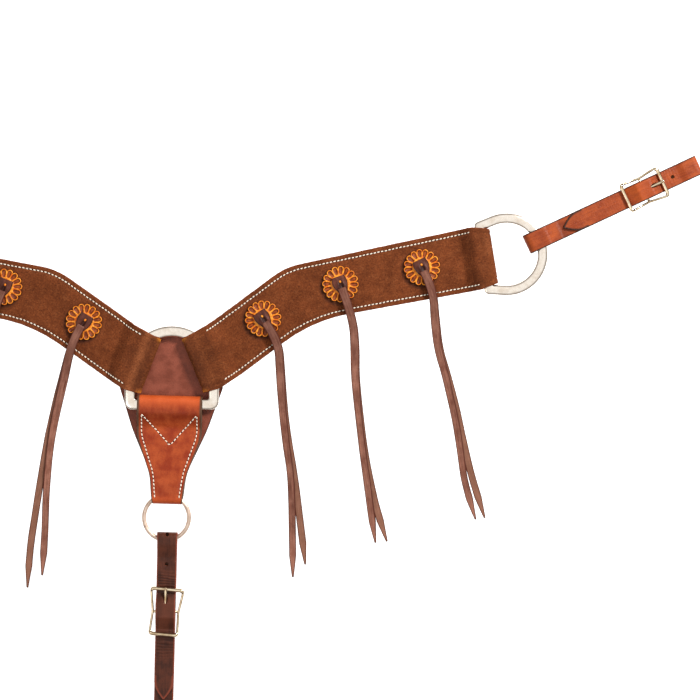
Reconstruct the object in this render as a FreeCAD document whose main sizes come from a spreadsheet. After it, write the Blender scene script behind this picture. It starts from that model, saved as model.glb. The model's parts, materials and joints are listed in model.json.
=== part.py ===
import FreeCAD, Part
import Sketcher
import math
import os
from FreeCAD import Placement, Rotation, Vector

# Western breast collar lying face up, all sizes in millimetres.
# Row frame: +X to the right wing, +Y towards the top of the collar, +Z out of its face.
# The origin is on the back of the shield, under the middle of the centre ring.

os.makedirs("parts", exist_ok=True)
doc = FreeCAD.newDocument("breastplate")
UP = Vector(0, 0, 1)
RIGHT = Vector(1, 0, 0)
ORIGIN = Vector(0, 0, 0)
SIDES = ("right", "left")

# ---------------------------------------------------------------- driving dimensions

SIZES = {
    "leather": 2.4,               # thickness of wing and tab leather
    "strap_leather": 2.5,         # thickness of the buckled straps
    "shield_leather": 2.8,
    "strap_width": 22,
    "ring_thickness": 5,
    "ring_edge_round": 2.2,
    "centre_ring_radius": 52,     # outer radius of the centre ring's arc
    "centre_ring_band": 11.6,
    "centre_ring_arc_y": -5.5,    # height of the arc's centre in the row
    "centre_ring_bar_y": -46,     # lower edge of the bar
    "centre_ring_z": 10.1,        # middle of the ring's thickness
    "side_ring_radius": 45.5,
    "side_ring_band": 10.9,
    "side_ring_bar": 30.4,        # arc's centre to the bar's outer edge
    "side_ring_z": 7.7,
    "small_ring_radius": 24.9,    # to the middle of the wire
    "small_ring_wire": 2.4,
    "lower_ring_z": 6.3,
    "rosette_radius": 16.6,
    "rosette_petal": 3.5,
    "rosette_height": 3,
    "knot_side": 18,
    "knot_height": 3,
    "knot_centre": 4.2,
    "buckle_wire": 1.6,
    "buckle_reach": 22,           # centre bar to each end bar
    "buckle_bar_z": 7.1,
    "buckle_end_z": 9.9,
    "tongue_wire": 1.1,
    "snap_axis_z": 4.9,
    "snap_barrel": 4.8,
    "snap_wire": 2,
    "string_width": 10,
    "string_leather": 2,
}

sheet = doc.addObject("Spreadsheet::Sheet", "sizes")
for row, (alias, value) in enumerate(SIZES.items(), start=1):
    sheet.set("A%d" % row, alias)
    sheet.set("B%d" % row, str(value))
    sheet.setAlias("B%d" % row, alias)
doc.recompute()


def size(alias):
    """The sheet's value for an alias, as a plain number."""
    return float(sheet.get(alias))


# ---------------------------------------------------------------- outlines and ribbons

def turn_between(into, out):
    """Signed turn in radians, positive to the left."""
    return math.atan2(into.x * out.y - into.y * out.x, into.dot(out))


def corner_arc(before, corner, after, radius):
    """Entry, middle and exit of the arc that rounds a corner, its centre and its turn."""
    into = (corner - before).normalize()
    out = (after - corner).normalize()
    turn = turn_between(into, out)
    reach = radius * math.tan(abs(turn) / 2)
    entry = corner - into * reach
    leave = corner + out * reach
    centre = entry + Vector(-into.y, into.x, 0) * math.copysign(radius, turn)
    middle = centre + (corner - centre).normalize() * radius
    return entry, middle, leave, centre, turn


def outline_curves(points):
    """Straight lines and arcs of a closed outline of (x, y, corner radius) points."""
    spots = [Vector(x, y, 0) for x, y, r in points]
    count = len(points)
    corners = []
    for i, (x, y, radius) in enumerate(points):
        if radius > 0:
            corners.append(corner_arc(spots[i - 1], spots[i], spots[(i + 1) % count], radius))
        else:
            corners.append((spots[i], None, spots[i], None, 0))
    for i, (entry, middle, leave, centre, turn) in enumerate(corners):
        if middle is not None:
            first, last = (entry, leave) if turn > 0 else (leave, entry)
            yield Part.Arc(first, middle, last)
        following = corners[(i + 1) % count][0]
        if leave.distanceToPoint(following) > 1e-4:
            yield Part.LineSegment(leave, following)


def closed_wire(points):
    edges = [curve.toShape() for curve in outline_curves(points)]
    return Part.Wire(Part.__sortEdges__(edges))


def plate(points, low, high):
    """Flat plate with the given outline between two heights."""
    face = Part.Face(closed_wire(points))
    face.translate(Vector(0, 0, low))
    return face.extrude(Vector(0, 0, high - low))


def ribbon_face(route, thickness):
    """Face that follows an open route of (x, y, corner radius) points at a constant thickness."""
    spots = [Vector(x, y, 0) for x, y, r in route]
    half = thickness / 2
    start = spots[0]
    sides = ([], [])
    for i in range(1, len(spots)):
        if i < len(spots) - 1:
            entry, middle, leave, centre, turn = corner_arc(*spots[i - 1:i + 2], route[i][2])
        else:
            entry = spots[i]
        along = (spots[i] - spots[i - 1]).normalize()
        across = Vector(-along.y, along.x, 0)
        for edges, offset in zip(sides, (half, -half)):
            if start.distanceToPoint(entry) > 1e-4:
                edges.append(Part.LineSegment(start + across * offset, entry + across * offset).toShape())
            if i < len(spots) - 1:
                scale = 1 - math.copysign(offset, turn * offset) / route[i][2]
                arc = [centre + (p - centre) * scale for p in (entry, middle, leave)]
                edges.append(Part.Arc(*arc).toShape())
        start = leave if i < len(spots) - 1 else entry
    ends = []
    for a, b in ((0, 1), (len(spots) - 1, len(spots) - 2)):
        along = (spots[b] - spots[a]).normalize()
        across = Vector(-along.y, along.x, 0) * half
        ends.append(Part.LineSegment(spots[a] + across, spots[a] - across).toShape())
    return Part.Face(Part.Wire(Part.__sortEdges__(sides[0] + sides[1] + ends)))


def upright_ribbon(route, thickness, low_y, high_y):
    """Ribbon whose route is (x, z, corner radius), standing across Y from low_y to high_y."""
    face = ribbon_face(route, thickness)
    face.rotate(ORIGIN, RIGHT, 90)
    face.translate(Vector(0, low_y, 0))
    return face.extrude(Vector(0, high_y - low_y, 0))


def drum(x, y, radius, low, high):
    """Upright cylinder used to punch holes."""
    return Part.makeCylinder(radius, high - low, Vector(x, y, low))


# ---------------------------------------------------------------- objects of the document

nodes = []


def keep(item, name):
    item.Label = name
    nodes.append(item)
    return item


def shaped(name, shape, placement=None):
    """Sub-part whose solid comes from Part's own functions."""
    item = doc.addObject("Part::Feature", name)
    item.Shape = shape
    if placement is not None:
        item.Placement = placement
    return keep(item, name)


def origin_plane(body, role):
    return next(f for f in body.Origin.OriginFeatures if f.Role == role)


def sketch_of(body, name, points):
    """Closed sketch of straight lines and arcs on the body's own XY plane."""
    sketch = body.newObject("Sketcher::SketchObject", name)
    sketch.AttachmentSupport = [(origin_plane(body, "XY_Plane"), "")]
    sketch.MapMode = "FlatFace"
    for curve in outline_curves(points):
        sketch.addGeometry(curve, False)
    return sketch


def pad(body, name, sketch, alias, middle=False):
    feature = body.newObject("PartDesign::Pad", name)
    feature.Profile = sketch
    feature.setExpression("Length", "sizes.%s" % alias)
    feature.Midplane = middle
    return feature


def centred_circle(body, name, x, alias):
    """Sketch of one circle whose radius follows the sheet."""
    sketch = body.newObject("Sketcher::SketchObject", name)
    sketch.AttachmentSupport = [(origin_plane(body, "XY_Plane"), "")]
    sketch.MapMode = "FlatFace"
    index = sketch.addGeometry(Part.Circle(Vector(x, 0, 0), UP, size(alias)), False)
    sketch.addConstraint(Sketcher.Constraint("Radius", index, size(alias)))
    sketch.setExpression("Constraints[0]", "sizes.%s" % alias)
    return sketch


def rod(name, start, end, alias):
    """Part::Cylinder from one point to another with its radius from the sheet."""
    item = doc.addObject("Part::Cylinder", name)
    item.setExpression("Radius", "sizes.%s" % alias)
    item.Height = start.distanceToPoint(end)
    item.Placement = Placement(start, Rotation(UP, end - start))
    return item


def ball(name, spot, alias):
    item = doc.addObject("Part::Sphere", name)
    item.setExpression("Radius", "sizes.%s" % alias)
    item.Placement = Placement(spot, Rotation())
    return item


def fused(name, members, placement):
    item = doc.addObject("Part::MultiFuse", name)
    item.Shapes = members
    item.Placement = placement
    return keep(item, name)


# ---------------------------------------------------------------- frames of the collar

ring_arc = Vector(0, size("centre_ring_arc_y"), 0)
LEFT_SAG = 1.2                    # the left wing lies this many degrees lower
FOLD_ANGLE = 22.15                # heading of the right wing where it leaves the centre ring
END_ANGLE = 9.1                   # heading of the right wing's outer end and D ring
TUG_ANGLE = 25.0                  # heading of the right tug
side_ring_centre = Vector(370.2, 125.9, 0)
LEAN = -1.8                       # the tab hangs this many degrees off the middle line
TIE_LEAN = -1.4                   # and the tie-down this many


def frame(side, spot, heading, z=0):
    """Local frame at a place given on the right side, with its local X along the heading."""
    if side == "right":
        return Placement(Vector(spot.x, spot.y, z), Rotation(UP, heading))
    turn = Placement(ORIGIN, Rotation(UP, LEFT_SAG), ring_arc)
    mirrored = turn.multVec(Vector(-spot.x, spot.y, 0))
    return Placement(Vector(mirrored.x, mirrored.y, z), Rotation(UP, 180 - heading + LEFT_SAG))


def on_side(side, shape):
    """A right-hand shape, or its mirror image on the left wing."""
    if side == "right":
        return shape
    mirrored = shape.mirror(ORIGIN, RIGHT)
    mirrored.rotate(ring_arc, UP, LEFT_SAG)
    return mirrored


tab_frame = Placement(Vector(-2.2, -40.2, 0), Rotation(UP, LEAN))
small_ring_y = -125.3             # small ring's middle in the tab's frame
tie_start = tab_frame.multVec(Vector(1.6, small_ring_y - size("small_ring_radius") + 8.8, 0))
tie_frame = Placement(Vector(tie_start.x, tie_start.y, 0), Rotation(UP, -90 + TIE_LEAN))


# ---------------------------------------------------------------- metal rings

def d_outline(radius, bar, taper, corner):
    """D ring outline about its arc's centre: apex at +Y, straight bar at -Y."""
    lean = math.radians(taper)
    foot = (bar - radius * math.sin(lean)) / math.cos(lean)
    bar_x = radius * math.cos(lean) - foot * math.sin(lean)
    head_x = radius * math.tan((math.pi / 2 + lean) / 2)
    return [(-bar_x, -bar, corner), (bar_x, -bar, corner),
            (head_x, radius, radius), (-head_x, radius, radius)]


def d_ring(name, radius, band, bar, taper, corner, placement):
    """Flat cast D ring with softly rounded edges."""
    body = doc.addObject("PartDesign::Body", name)
    outer = sketch_of(body, name + "_outline", d_outline(radius, bar, taper, corner))
    base = pad(body, name + "_pad", outer, "ring_thickness", middle=True)
    doc.recompute()
    inner = sketch_of(body, name + "_opening", d_outline(radius - band, bar - band, taper, 1.5))
    hole = body.newObject("PartDesign::Pocket", name + "_pocket")
    hole.Profile = inner
    hole.Type = 1
    hole.Midplane = True
    doc.recompute()
    rims = ["Edge%d" % (i + 1) for i, edge in enumerate(hole.Shape.Edges)
            if abs(edge.BoundBox.ZLength) < 1e-6]
    fillet = body.newObject("PartDesign::Fillet", name + "_edges")
    fillet.Base = (hole, rims)
    fillet.setExpression("Radius", "sizes.ring_edge_round")
    doc.recompute()
    if fillet.Shape.Volume >= base.Shape.Volume * 0.7:
        raise ValueError("the opening of %s was not cut" % name)
    body.Placement = placement
    return keep(body, name)


centre_bar = size("centre_ring_arc_y") - size("centre_ring_bar_y")
d_ring("centre_ring", size("centre_ring_radius"), size("centre_ring_band"), centre_bar, 0, 9,
       Placement(ring_arc + UP * size("centre_ring_z"), Rotation()))
for side in SIDES:
    d_ring(side + "_d_ring", size("side_ring_radius"), size("side_ring_band"), size("side_ring_bar"),
           13, 5, frame(side, side_ring_centre, END_ANGLE, size("side_ring_z"))
           * Placement(ORIGIN, Rotation(UP, -90)))

small_ring = doc.addObject("Part::Torus", "small_ring")
small_ring.setExpression("Radius1", "sizes.small_ring_radius")
small_ring.setExpression("Radius2", "sizes.small_ring_wire")
small_ring.Placement = tab_frame * Placement(Vector(0, small_ring_y, size("lower_ring_z")), Rotation())
keep(small_ring, "small_ring")

# ---------------------------------------------------------------- wings

leather = size("leather")
ring_z = size("centre_ring_z")
end_z = size("side_ring_z")
END_GAP = 5.3                     # half height of the hollow round the outer ring's bar
LOOP_GAP = 2.9                    # half height of the loop round the centre ring
HINGE = 50.2                      # from the loop's fold to the line where the wing bends
FOLD_FROM_ARC = 24.0              # centre of the ring's arc to the loop's folded edge
FLAT_FRONT = 1.5 * leather        # middle height of the front leather where it lies flat

WING_OUTLINE = [(10.4, 31.6, 2), (39.0, 47.8, 60), (125.4, 111.9, 78), (330.8, 155.9, 40),
                (351.5, 153.7, 2.5), (360.9, 94.2, 2.5), (342.4, 86.8, 40), (156.5, 52.9, 170),
                (76.0, -7.2, 60), (52.7, -22.8, 30), (34.1, -27.6, 2)]

loop_frame = Placement(ring_arc, Rotation(UP, FOLD_ANGLE)) * Placement(
    Vector(FOLD_FROM_ARC, 0, 0), Rotation())
end_frame = Placement(side_ring_centre, Rotation(UP, END_ANGLE)) * Placement(
    Vector(-14.0, 0, 0), Rotation())

wing_plan = plate(WING_OUTLINE, -1, 60)
half = leather / 2

# The loop: front leather over the ring's shoulder, round the fold and back behind the ring.
fold_round = LOOP_GAP + half
loop_route = [(HINGE - 2.8, FLAT_FRONT + 0.15, 0), (44, FLAT_FRONT + 0.15, 8), (32, ring_z + fold_round, 6),
              (half, ring_z + fold_round, fold_round), (half, ring_z - fold_round, fold_round),
              (30, ring_z - fold_round, 8), (42, half, 8), (HINGE - 2.8, half, 0)]
loop_solid = upright_ribbon(loop_route, leather, -60, 60)
loop_solid.Placement = loop_frame
loop_solid = loop_solid.common(wing_plan)

# The wing: a round nose on the bending line, flat leather, then the fold round the outer ring.
end_round = END_GAP + half
nose = Part.makeCylinder(leather, 200, Vector(HINGE, -100, leather), Vector(0, 1, 0))
slab = Part.makeBox(180, 260, leather, Vector(HINGE, -130, leather))
flat_inner = slab.fuse(nose.common(Part.makeBox(40, 260, 40, Vector(HINGE - 20, -130, leather))))
flat_inner.Placement = loop_frame
end_route = [(-150, FLAT_FRONT, 0), (-34, FLAT_FRONT, 9), (-20, end_z + end_round, 9),
             (-half, end_z + end_round, end_round), (-half, end_z - end_round, end_round),
             (-30, half, 0)]
end_solid = upright_ribbon(end_route, leather, -60, 60)
end_solid.Placement = end_frame
front_solid = flat_inner.fuse(end_solid).common(wing_plan).removeSplitter()

lining_slab = Part.makeBox(400, 300, leather, Vector(HINGE, -150, 0))
lining_slab = lining_slab.fuse(nose.common(Part.makeBox(40, 260, leather, Vector(HINGE - 20, -130, 0))))
lining_slab.Placement = loop_frame
keep_out = Part.makeBox(60, 200, 40, Vector(-30.2, -100, -1))
keep_out.Placement = end_frame
lining_solid = lining_slab.cut(keep_out).common(wing_plan).removeSplitter()

for side in SIDES:
    shaped(side + "_wing_loop", on_side(side, loop_solid))
    shaped(side + "_wing_front", on_side(side, front_solid))
    shaped(side + "_wing_lining", on_side(side, lining_solid))

# Thread rows, a low rib of stitches 5.5 mm inside each long edge.
THREAD = 0.8
THREAD_RISE = 0.3
TOP_ROW = [(78, 69.5, 0), (125.0, 104.9, 72), (315.0, 145.6, 0)]
BOTTOM_ROW = [(81.5, 3.9, 0), (155.0, 59.4, 175), (323.5, 90.0, 0)]


def thread(route, low, rise):
    face = ribbon_face(route, THREAD)
    face.translate(Vector(0, 0, low))
    return face.extrude(Vector(0, 0, rise))


rows = [thread(route, 2 * leather, THREAD_RISE) for route in (TOP_ROW, BOTTOM_ROW)]
for side in SIDES:
    shaped(side + "_wing_stitching", Part.makeCompound([on_side(side, solid) for solid in rows]))

# ---------------------------------------------------------------- shield and tab

SHIELD_OUTLINE = [(16, 78, 10), (-16, 78, 10), (-58.5, 22, 8), (-41.5, -28.6, 120), (-21.4, -74, 20),
                  (-19.8, -80, 0), (19.8, -80, 0), (21.4, -74, 20), (41.5, -28.6, 120), (58.5, 22, 8)]
shield_body = doc.addObject("PartDesign::Body", "center_shield")
shield_sketch = sketch_of(shield_body, "shield_outline", SHIELD_OUTLINE)
pad(shield_body, "shield_pad", shield_sketch, "shield_leather")
shield_body.Placement = tab_frame
keep(shield_body, "center_shield")

shield = size("shield_leather")
low_z = size("lower_ring_z")
BAR_GAP = 4.8                     # half height of the fold round the centre ring's bar
SMALL_GAP = 3.9                   # half height of the fold round the small ring
bar_round = BAR_GAP + half
small_round = SMALL_GAP + half
FOLD_TOP = 9.9                    # tab's folded top edge above the bar's middle
FOLD_FOOT = 110.4                 # tab's folded lower edge below the bar's middle
flap_z = shield + half
LAYER_GAP = 0.15                  # between the tab's layers
tab_z = flap_z + leather + LAYER_GAP

# Side view of the tab as (distance below the bar's middle, height, corner radius).
tab_route = [(47, flap_z, 0), (22, flap_z, 12), (9, ring_z - bar_round, 10),
             (half - FOLD_TOP, ring_z - bar_round, bar_round),
             (half - FOLD_TOP, ring_z + bar_round, bar_round), (9, ring_z + bar_round, 10),
             (26, tab_z, 12), (84, tab_z, 12), (96, low_z + small_round, 8),
             (FOLD_FOOT - half, low_z + small_round, small_round),
             (FOLD_FOOT - half, low_z - small_round, small_round),
             (97, half, 10), (85, flap_z, 10), (54, flap_z, 0)]
TAB_OUTLINE = [(36, 12, 2), (36, -36, 45), (20.5, -78, 60), (18, -101.0, 0), (13.4, -106.9, 1),
               (13.4, -111, 1.5), (-13.4, -111, 1.5), (-13.4, -106.9, 1),
               (-18, -101.0, 0), (-20.5, -78, 60), (-36, -36, 45), (-36, 12, 2)]
FLAP_TIP = 50.0                   # the back flap ends in a V this far down
tab_solid = upright_ribbon(tab_route, leather, -60, 60)
tab_solid.rotate(ORIGIN, UP, -90)
tab_solid = tab_solid.common(plate(TAB_OUTLINE, -1, 40))
v_cut = [(-40, -12, 0), (0, -FLAP_TIP, 0), (40, -12, 0), (40, -52, 0), (-40, -52, 0)]
tab_solid = tab_solid.cut(plate(v_cut, shield - 0.1, flap_z + half + LAYER_GAP / 2))
shaped("center_tab", tab_solid.removeSplitter(), tab_frame)

tab_top = tab_z + half
V_ROW = [(-24, -32, 0), (0, -44.5, 1), (24, -32, 0)]
SIDE_ROW = [(30.0, -37, 0), (16.2, -74, 30), (15.2, -80, 0)]
rows = [thread(V_ROW, tab_top, THREAD_RISE)]
for hand in (1, -1):
    rows.append(thread([(hand * x, y, r) for x, y, r in SIDE_ROW], tab_top, THREAD_RISE))
shaped("tab_stitching", Part.makeCompound(rows), tab_frame)

# ---------------------------------------------------------------- buckled loop straps

strap = size("strap_leather")
strap_half = strap / 2
strap_width = size("strap_width")
bar_z = size("buckle_bar_z")
wire = size("buckle_wire")
reach = size("buckle_reach")
CHAPE_Z = 1.6 * strap + 0.05      # middle height of the layer under the billet
BILLET_Z = 2.7 * strap            # middle height of the billet beside the buckle
TIP = 98.0                        # billet's pointed end beyond the centre bar
HOLE = 2.0
TONGUE_HOLE = 12.0                # from the centre bar back along the billet


def loop_strap(name, length, buckle, near, far, holes, placement):
    """One strap from the billet's fold at X=0 to the chape's fold at X=length.

    near and far are (half height of the hollow, its length) at the two folds."""
    near_round = near[0] + strap_half
    far_round = far[0] + strap_half
    near_top = strap_half + 2 * near_round
    far_top = strap_half + 2 * far_round
    eye = wire + 0.2 + strap_half
    over_bar = bar_z + eye
    hump = over_bar + strap + 0.4
    ramp = 1.6 * (far_top - CHAPE_Z)
    route = [(buckle + 9, CHAPE_Z, 0), (buckle - eye, CHAPE_Z, eye), (buckle - eye, over_bar, eye),
             (buckle + 5, over_bar, 3), (buckle + 16.5, CHAPE_Z, 4),
             (length - far[1] - ramp, CHAPE_Z, 10), (length - far[1], far_top, 6),
             (length - strap_half, far_top, far_round), (length - strap_half, strap_half, far_round),
             (strap_half, strap_half, near_round), (strap_half, near_top, near_round),
             (near[1], near_top, 12), (near[1] + 3 * (near_top - BILLET_Z) + 1, BILLET_Z, 12),
             (buckle - 19.5, BILLET_Z, 4), (buckle - 8.5, hump, 4), (buckle + 6.8, hump, 4),
             (buckle + 20, BILLET_Z, 4), (buckle + TIP, BILLET_Z, 0)]
    solid = upright_ribbon(route, strap, -strap_width / 2, strap_width / 2)
    for hole in holes:
        solid = solid.cut(drum(buckle - hole, 0, HOLE, BILLET_Z - strap_half - 0.3, hump + strap))
    slot_low = CHAPE_Z - strap_half - 0.1
    eye_slot = Part.makeBox(8.6, 5, over_bar + strap_half + 0.1 - slot_low,
                            Vector(buckle - 4.5, -2.5, slot_low))
    billet_slot = Part.makeBox(14.5, 3.2, 9, Vector(buckle - TONGUE_HOLE - 5, -1.6, BILLET_Z))
    solid = solid.cut(eye_slot).cut(billet_slot)
    end = buckle + TIP
    point = [(end - 17, 12, 0), (end - 17, 11.01, 0), (end - 8, 9.4, 0), (end, 0.8, 0), (end, -0.8, 0),
             (end - 8, -9.4, 0), (end - 17, -11.01, 0), (end - 17, -12, 0), (end + 2, -12, 0),
             (end + 2, 12, 0)]
    solid = solid.cut(plate(point, BILLET_Z - strap_half - 0.1, BILLET_Z + strap_half + 0.1))
    return shaped(name, solid.removeSplitter(), placement)


def buckle_frame(name, buckle, placement):
    """Wire frame with a lower centre bar and slightly waisted sides."""
    end_bar_z = size("buckle_end_z")
    spots = {}
    for end, half_width in ((-1, 15.5), (0, 13.3), (1, 14.4)):
        z = bar_z if end == 0 else end_bar_z
        for hand in (1, -1):
            spots[end, hand] = Vector(buckle + end * reach, hand * half_width, z)
    members = []
    for end in (-1, 0, 1):
        members.append(rod("%s_bar_%d" % (name, end + 1), spots[end, -1], spots[end, 1], "buckle_wire"))
        for hand in (1, -1):
            label = "%s_corner_%d_%s" % (name, end + 1, "a" if hand > 0 else "b")
            members.append(ball(label, spots[end, hand], "buckle_wire"))
            if end != 0:
                members.append(rod(label + "_side", spots[0, hand], spots[end, hand], "buckle_wire"))
    return fused(name, members, placement)


def tongue(name, buckle, placement):
    """Tongue: an eye round the centre bar and a finger that rests on the end bar."""
    finger_z = size("buckle_end_z") + wire + size("tongue_wire") + 0.3
    eye = doc.addObject("Part::Torus", name + "_eye")
    eye.Radius1 = wire + size("tongue_wire") + 0.1
    eye.setExpression("Radius2", "sizes.tongue_wire")
    eye.Placement = Placement(Vector(buckle, 0, bar_z), Rotation(RIGHT, 90))
    start = Vector(buckle - 1.0, 0, bar_z + wire + size("tongue_wire") + 0.1)
    end = Vector(buckle - reach - 1.4, 0, finger_z)
    members = [eye, rod(name + "_finger", start, end, "tongue_wire"),
               ball(name + "_tip", end, "tongue_wire")]
    return fused(name, members, placement)


TUG_LENGTH = 211.0
TUG_BUCKLE = 67.4
TUG_FOLD = 24.4                   # D ring arc's centre to the tug's fold
for side in SIDES:
    tug_direction = Vector(math.cos(math.radians(TUG_ANGLE)), math.sin(math.radians(TUG_ANGLE)), 0)
    far_fold = side_ring_centre + tug_direction * (TUG_FOLD + TUG_LENGTH)
    place = frame(side, far_fold, TUG_ANGLE + 180)
    loop_strap(side + "_tug_strap", TUG_LENGTH, TUG_BUCKLE, (2.4, 18), (4.9, 25), (34.8,), place)
    buckle_frame(side + "_tug_buckle", TUG_BUCKLE, place)
    tongue(side + "_tug_tongue", TUG_BUCKLE, place)

TIE_LENGTH = 360.0
TIE_BUCKLE = 87.0
loop_strap("tie_down_strap", TIE_LENGTH, TIE_BUCKLE, (3.8, 13), (2.4, 9), (51.6,), tie_frame)
buckle_frame("tie_down_buckle", TIE_BUCKLE, tie_frame)
tongue("tie_down_tongue", TIE_BUCKLE, tie_frame)

# ---------------------------------------------------------------- rosettes and knots

WING_TOP = 2 * leather
ROSETTES = {"right": [(100.8, 54.7), (186.4, 92.9), (276.6, 111.6)],
            "left": [(-97.6, 51.1), (-185.9, 89.9), (-279.0, 106.0)]}
PETALS = 16


def rosette(name, spot):
    """Scalloped leather disc."""
    body = doc.addObject("PartDesign::Body", name)
    disc = centred_circle(body, name + "_disc", 0, "rosette_radius")
    pad(body, name + "_base", disc, "rosette_height")
    petal = centred_circle(body, name + "_petal", size("rosette_radius"), "rosette_petal")
    lobe = pad(body, name + "_lobe", petal, "rosette_height")
    doc.recompute()
    ring = body.newObject("PartDesign::PolarPattern", name + "_petals")
    ring.Originals = [lobe]
    ring.Axis = (origin_plane(body, "Z_Axis"), [""])
    ring.Angle = 360
    ring.Occurrences = PETALS
    body.Tip = ring
    body.Placement = Placement(Vector(spot[0], spot[1], WING_TOP), Rotation())
    return keep(body, name)


def knot(name, spot, heading):
    """Slit leather patch tied over the rosette, with a raised round centre."""
    patch = doc.addObject("Part::Box", name + "_patch")
    for side_name in ("Length", "Width"):
        patch.setExpression(side_name, "sizes.knot_side")
    patch.setExpression("Height", "sizes.knot_height")
    patch.setExpression("Placement.Base.x", "-sizes.knot_side / 2")
    patch.setExpression("Placement.Base.y", "-sizes.knot_side / 2")
    centre = doc.addObject("Part::Cylinder", name + "_centre")
    centre.setExpression("Radius", "sizes.knot_centre")
    centre.setExpression("Height", "sizes.knot_height + 1")
    height = WING_TOP + size("rosette_height")
    return fused(name, [patch, centre], Placement(Vector(spot[0], spot[1], height),
                                                  Rotation(UP, heading)))


# ---------------------------------------------------------------- string tails

string_width = size("string_width")
string_leather = size("string_leather")

# Routes from the knot to the pointed end, chosen by hand: (x, y) of each bend.
FRONT_TAILS = {
    "right_1": [(118, 30), (119.4, -4), (122, -46), (125.8, -83), (131.2, -116), (132.6, -151),
                (133.2, -188), (133.6, -232)],
    "right_2": [(200.2, 56), (202.4, 22), (202.2, -8), (205.8, -46), (210.3, -87), (216.8, -133),
                (220.2, -160), (225.3, -194)],
    "right_3": [(289.3, 85), (290.9, 53.5), (294.6, 20), (302.2, -5), (309.7, -38), (316.4, -70),
                (320.8, -103), (324.6, -130), (336.4, -168)],
    "left_1": [(-110.5, 29), (-120.8, -15), (-132.2, -65), (-137.4, -103), (-140.6, -149),
               (-141.6, -190), (-144.6, -230)],
    "left_2": [(-197.5, 62), (-207, 20), (-216, -30), (-221.4, -74), (-224.4, -118), (-225.4, -152),
               (-229, -190)],
    "left_3": [(-289, 78), (-297, 42), (-304.6, -2), (-309, -46), (-315.4, -88), (-318.4, -122),
               (-326, -162)],
}
BACK_TAILS = {
    "right_1": [(118, 30), (120.4, -4), (123.6, -46), (129, -84), (135, -117), (139.2, -150),
                (143.4, -184), (147.4, -218)],
    "right_2": [(200.2, 56), (203.2, 22), (203.2, -8), (207.4, -47), (212.3, -88), (220.8, -132),
                (227.9, -162), (238, -192.5)],
    "right_3": [(289.3, 85), (291.9, 53.5), (296, 20), (304.4, -6), (313.4, -38), (320.4, -70),
                (327.6, -103), (335, -131), (346.5, -166.5)],
    "left_1": [(-110.5, 29), (-122.8, -15), (-135.4, -65), (-143.8, -108), (-151.8, -160),
               (-158.8, -204), (-160.8, -243.5)],
    "left_2": [(-197.5, 62), (-208.6, 20), (-219.6, -30), (-227.4, -76), (-234.2, -122),
               (-240.6, -160), (-243, -202)],
    "left_3": [(-289, 78), (-298.6, 42), (-307.6, -2), (-314.4, -47), (-323, -90), (-329.4, -126),
               (-341, -168)],
}
EDGE_Y = {"right_1": 14, "right_2": 52, "right_3": 66, "left_1": 8, "left_2": 48, "left_3": 62}
POINT = 14.0                      # length of a tail's pointed end


def bend_radius(before, corner, after):
    """Arc as large as its two runs allow."""
    shorter = min((corner - before).Length, (after - corner).Length)
    turn = abs(turn_between((corner - before).normalize(), (after - corner).normalize()))
    return 0.45 * shorter / math.tan(turn / 2)


def with_bends(points):
    """(x, y, radius) for each point of a route, with its largest tangent arcs."""
    spots = [Vector(x, y, 0) for x, y in points]
    route = [(spots[0].x, spots[0].y, 0)]
    for i in range(1, len(spots) - 1):
        route.append((spots[i].x, spots[i].y, bend_radius(*spots[i - 1:i + 2])))
    route.append((spots[-1].x, spots[-1].y, 0))
    return route


def tail(name, knot_spot, heading, points, edge_y, floor_z, upper_z):
    """Flat string: a strip in plan, dropping from the rosette to the wing and to the floor."""
    away = Vector(math.cos(math.radians(heading)), math.sin(math.radians(heading)), 0)
    start = Vector(knot_spot[0], knot_spot[1], 0) + away * (size("knot_side") / 2)
    plan = with_bends([(start.x, start.y)] + points)
    strip = ribbon_face(plan, string_width)
    strip.translate(Vector(0, 0, -1))
    strip = strip.extrude(Vector(0, 0, 40))
    last = Vector(*points[-1], 0)
    along = (last - Vector(*points[-2], 0)).normalize()
    lowest = points[-1][1] - 20
    # Side view as (distance along -Y, height): rosette, wing, over the wing's edge, floor.
    rosette_edge = knot_spot[1] - 21
    lift = string_leather / 2 + floor_z
    step = WING_TOP + lift
    side_view = [(-start.y - 8, upper_z), (-rosette_edge + 4, upper_z - 0.05), (-rosette_edge + 14, step),
                 (-edge_y - 2, step - 0.02), (-edge_y + 16, lift + 0.02), (-lowest, lift)]
    heights = with_bends(side_view)
    band = upright_ribbon(heights, string_leather, -400, 400)
    band.rotate(ORIGIN, UP, -90)
    solid = strip.common(band)
    across = Vector(-along.y, along.x, 0)
    for hand in (1, -1):
        corner = last - along * POINT + across * (hand * (string_width / 2 + 0.01))
        wedge = [last, corner, corner + across * (hand * 20), last + along * 30 + across * (hand * 26),
                 last + along * 30]
        face = Part.Face(Part.makePolygon([p - UP for p in wedge] + [wedge[0] - UP]))
        solid = solid.cut(face.extrude(Vector(0, 0, 40)))
    length = Part.Wire([e for e in centre_line(plan)]).Length
    smallest = min(radius for x, y, radius in plan[1:-1])
    section = length * string_width * string_leather
    print("%s length %.0f mm, smallest radius %.0f mm, volume / section x length %.3f"
          % (name, length, smallest, solid.Volume / section))
    return shaped(name, solid)


def centre_line(route):
    """Edges of an open route's runs and arcs."""
    spots = [Vector(x, y, 0) for x, y, r in route]
    start = spots[0]
    for i in range(1, len(spots) - 1):
        entry, middle, leave, centre, turn = corner_arc(*spots[i - 1:i + 2], route[i][2])
        yield Part.LineSegment(start, entry).toShape()
        yield Part.Arc(entry, middle, leave).toShape()
        start = leave
    yield Part.LineSegment(start, spots[-1]).toShape()


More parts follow.
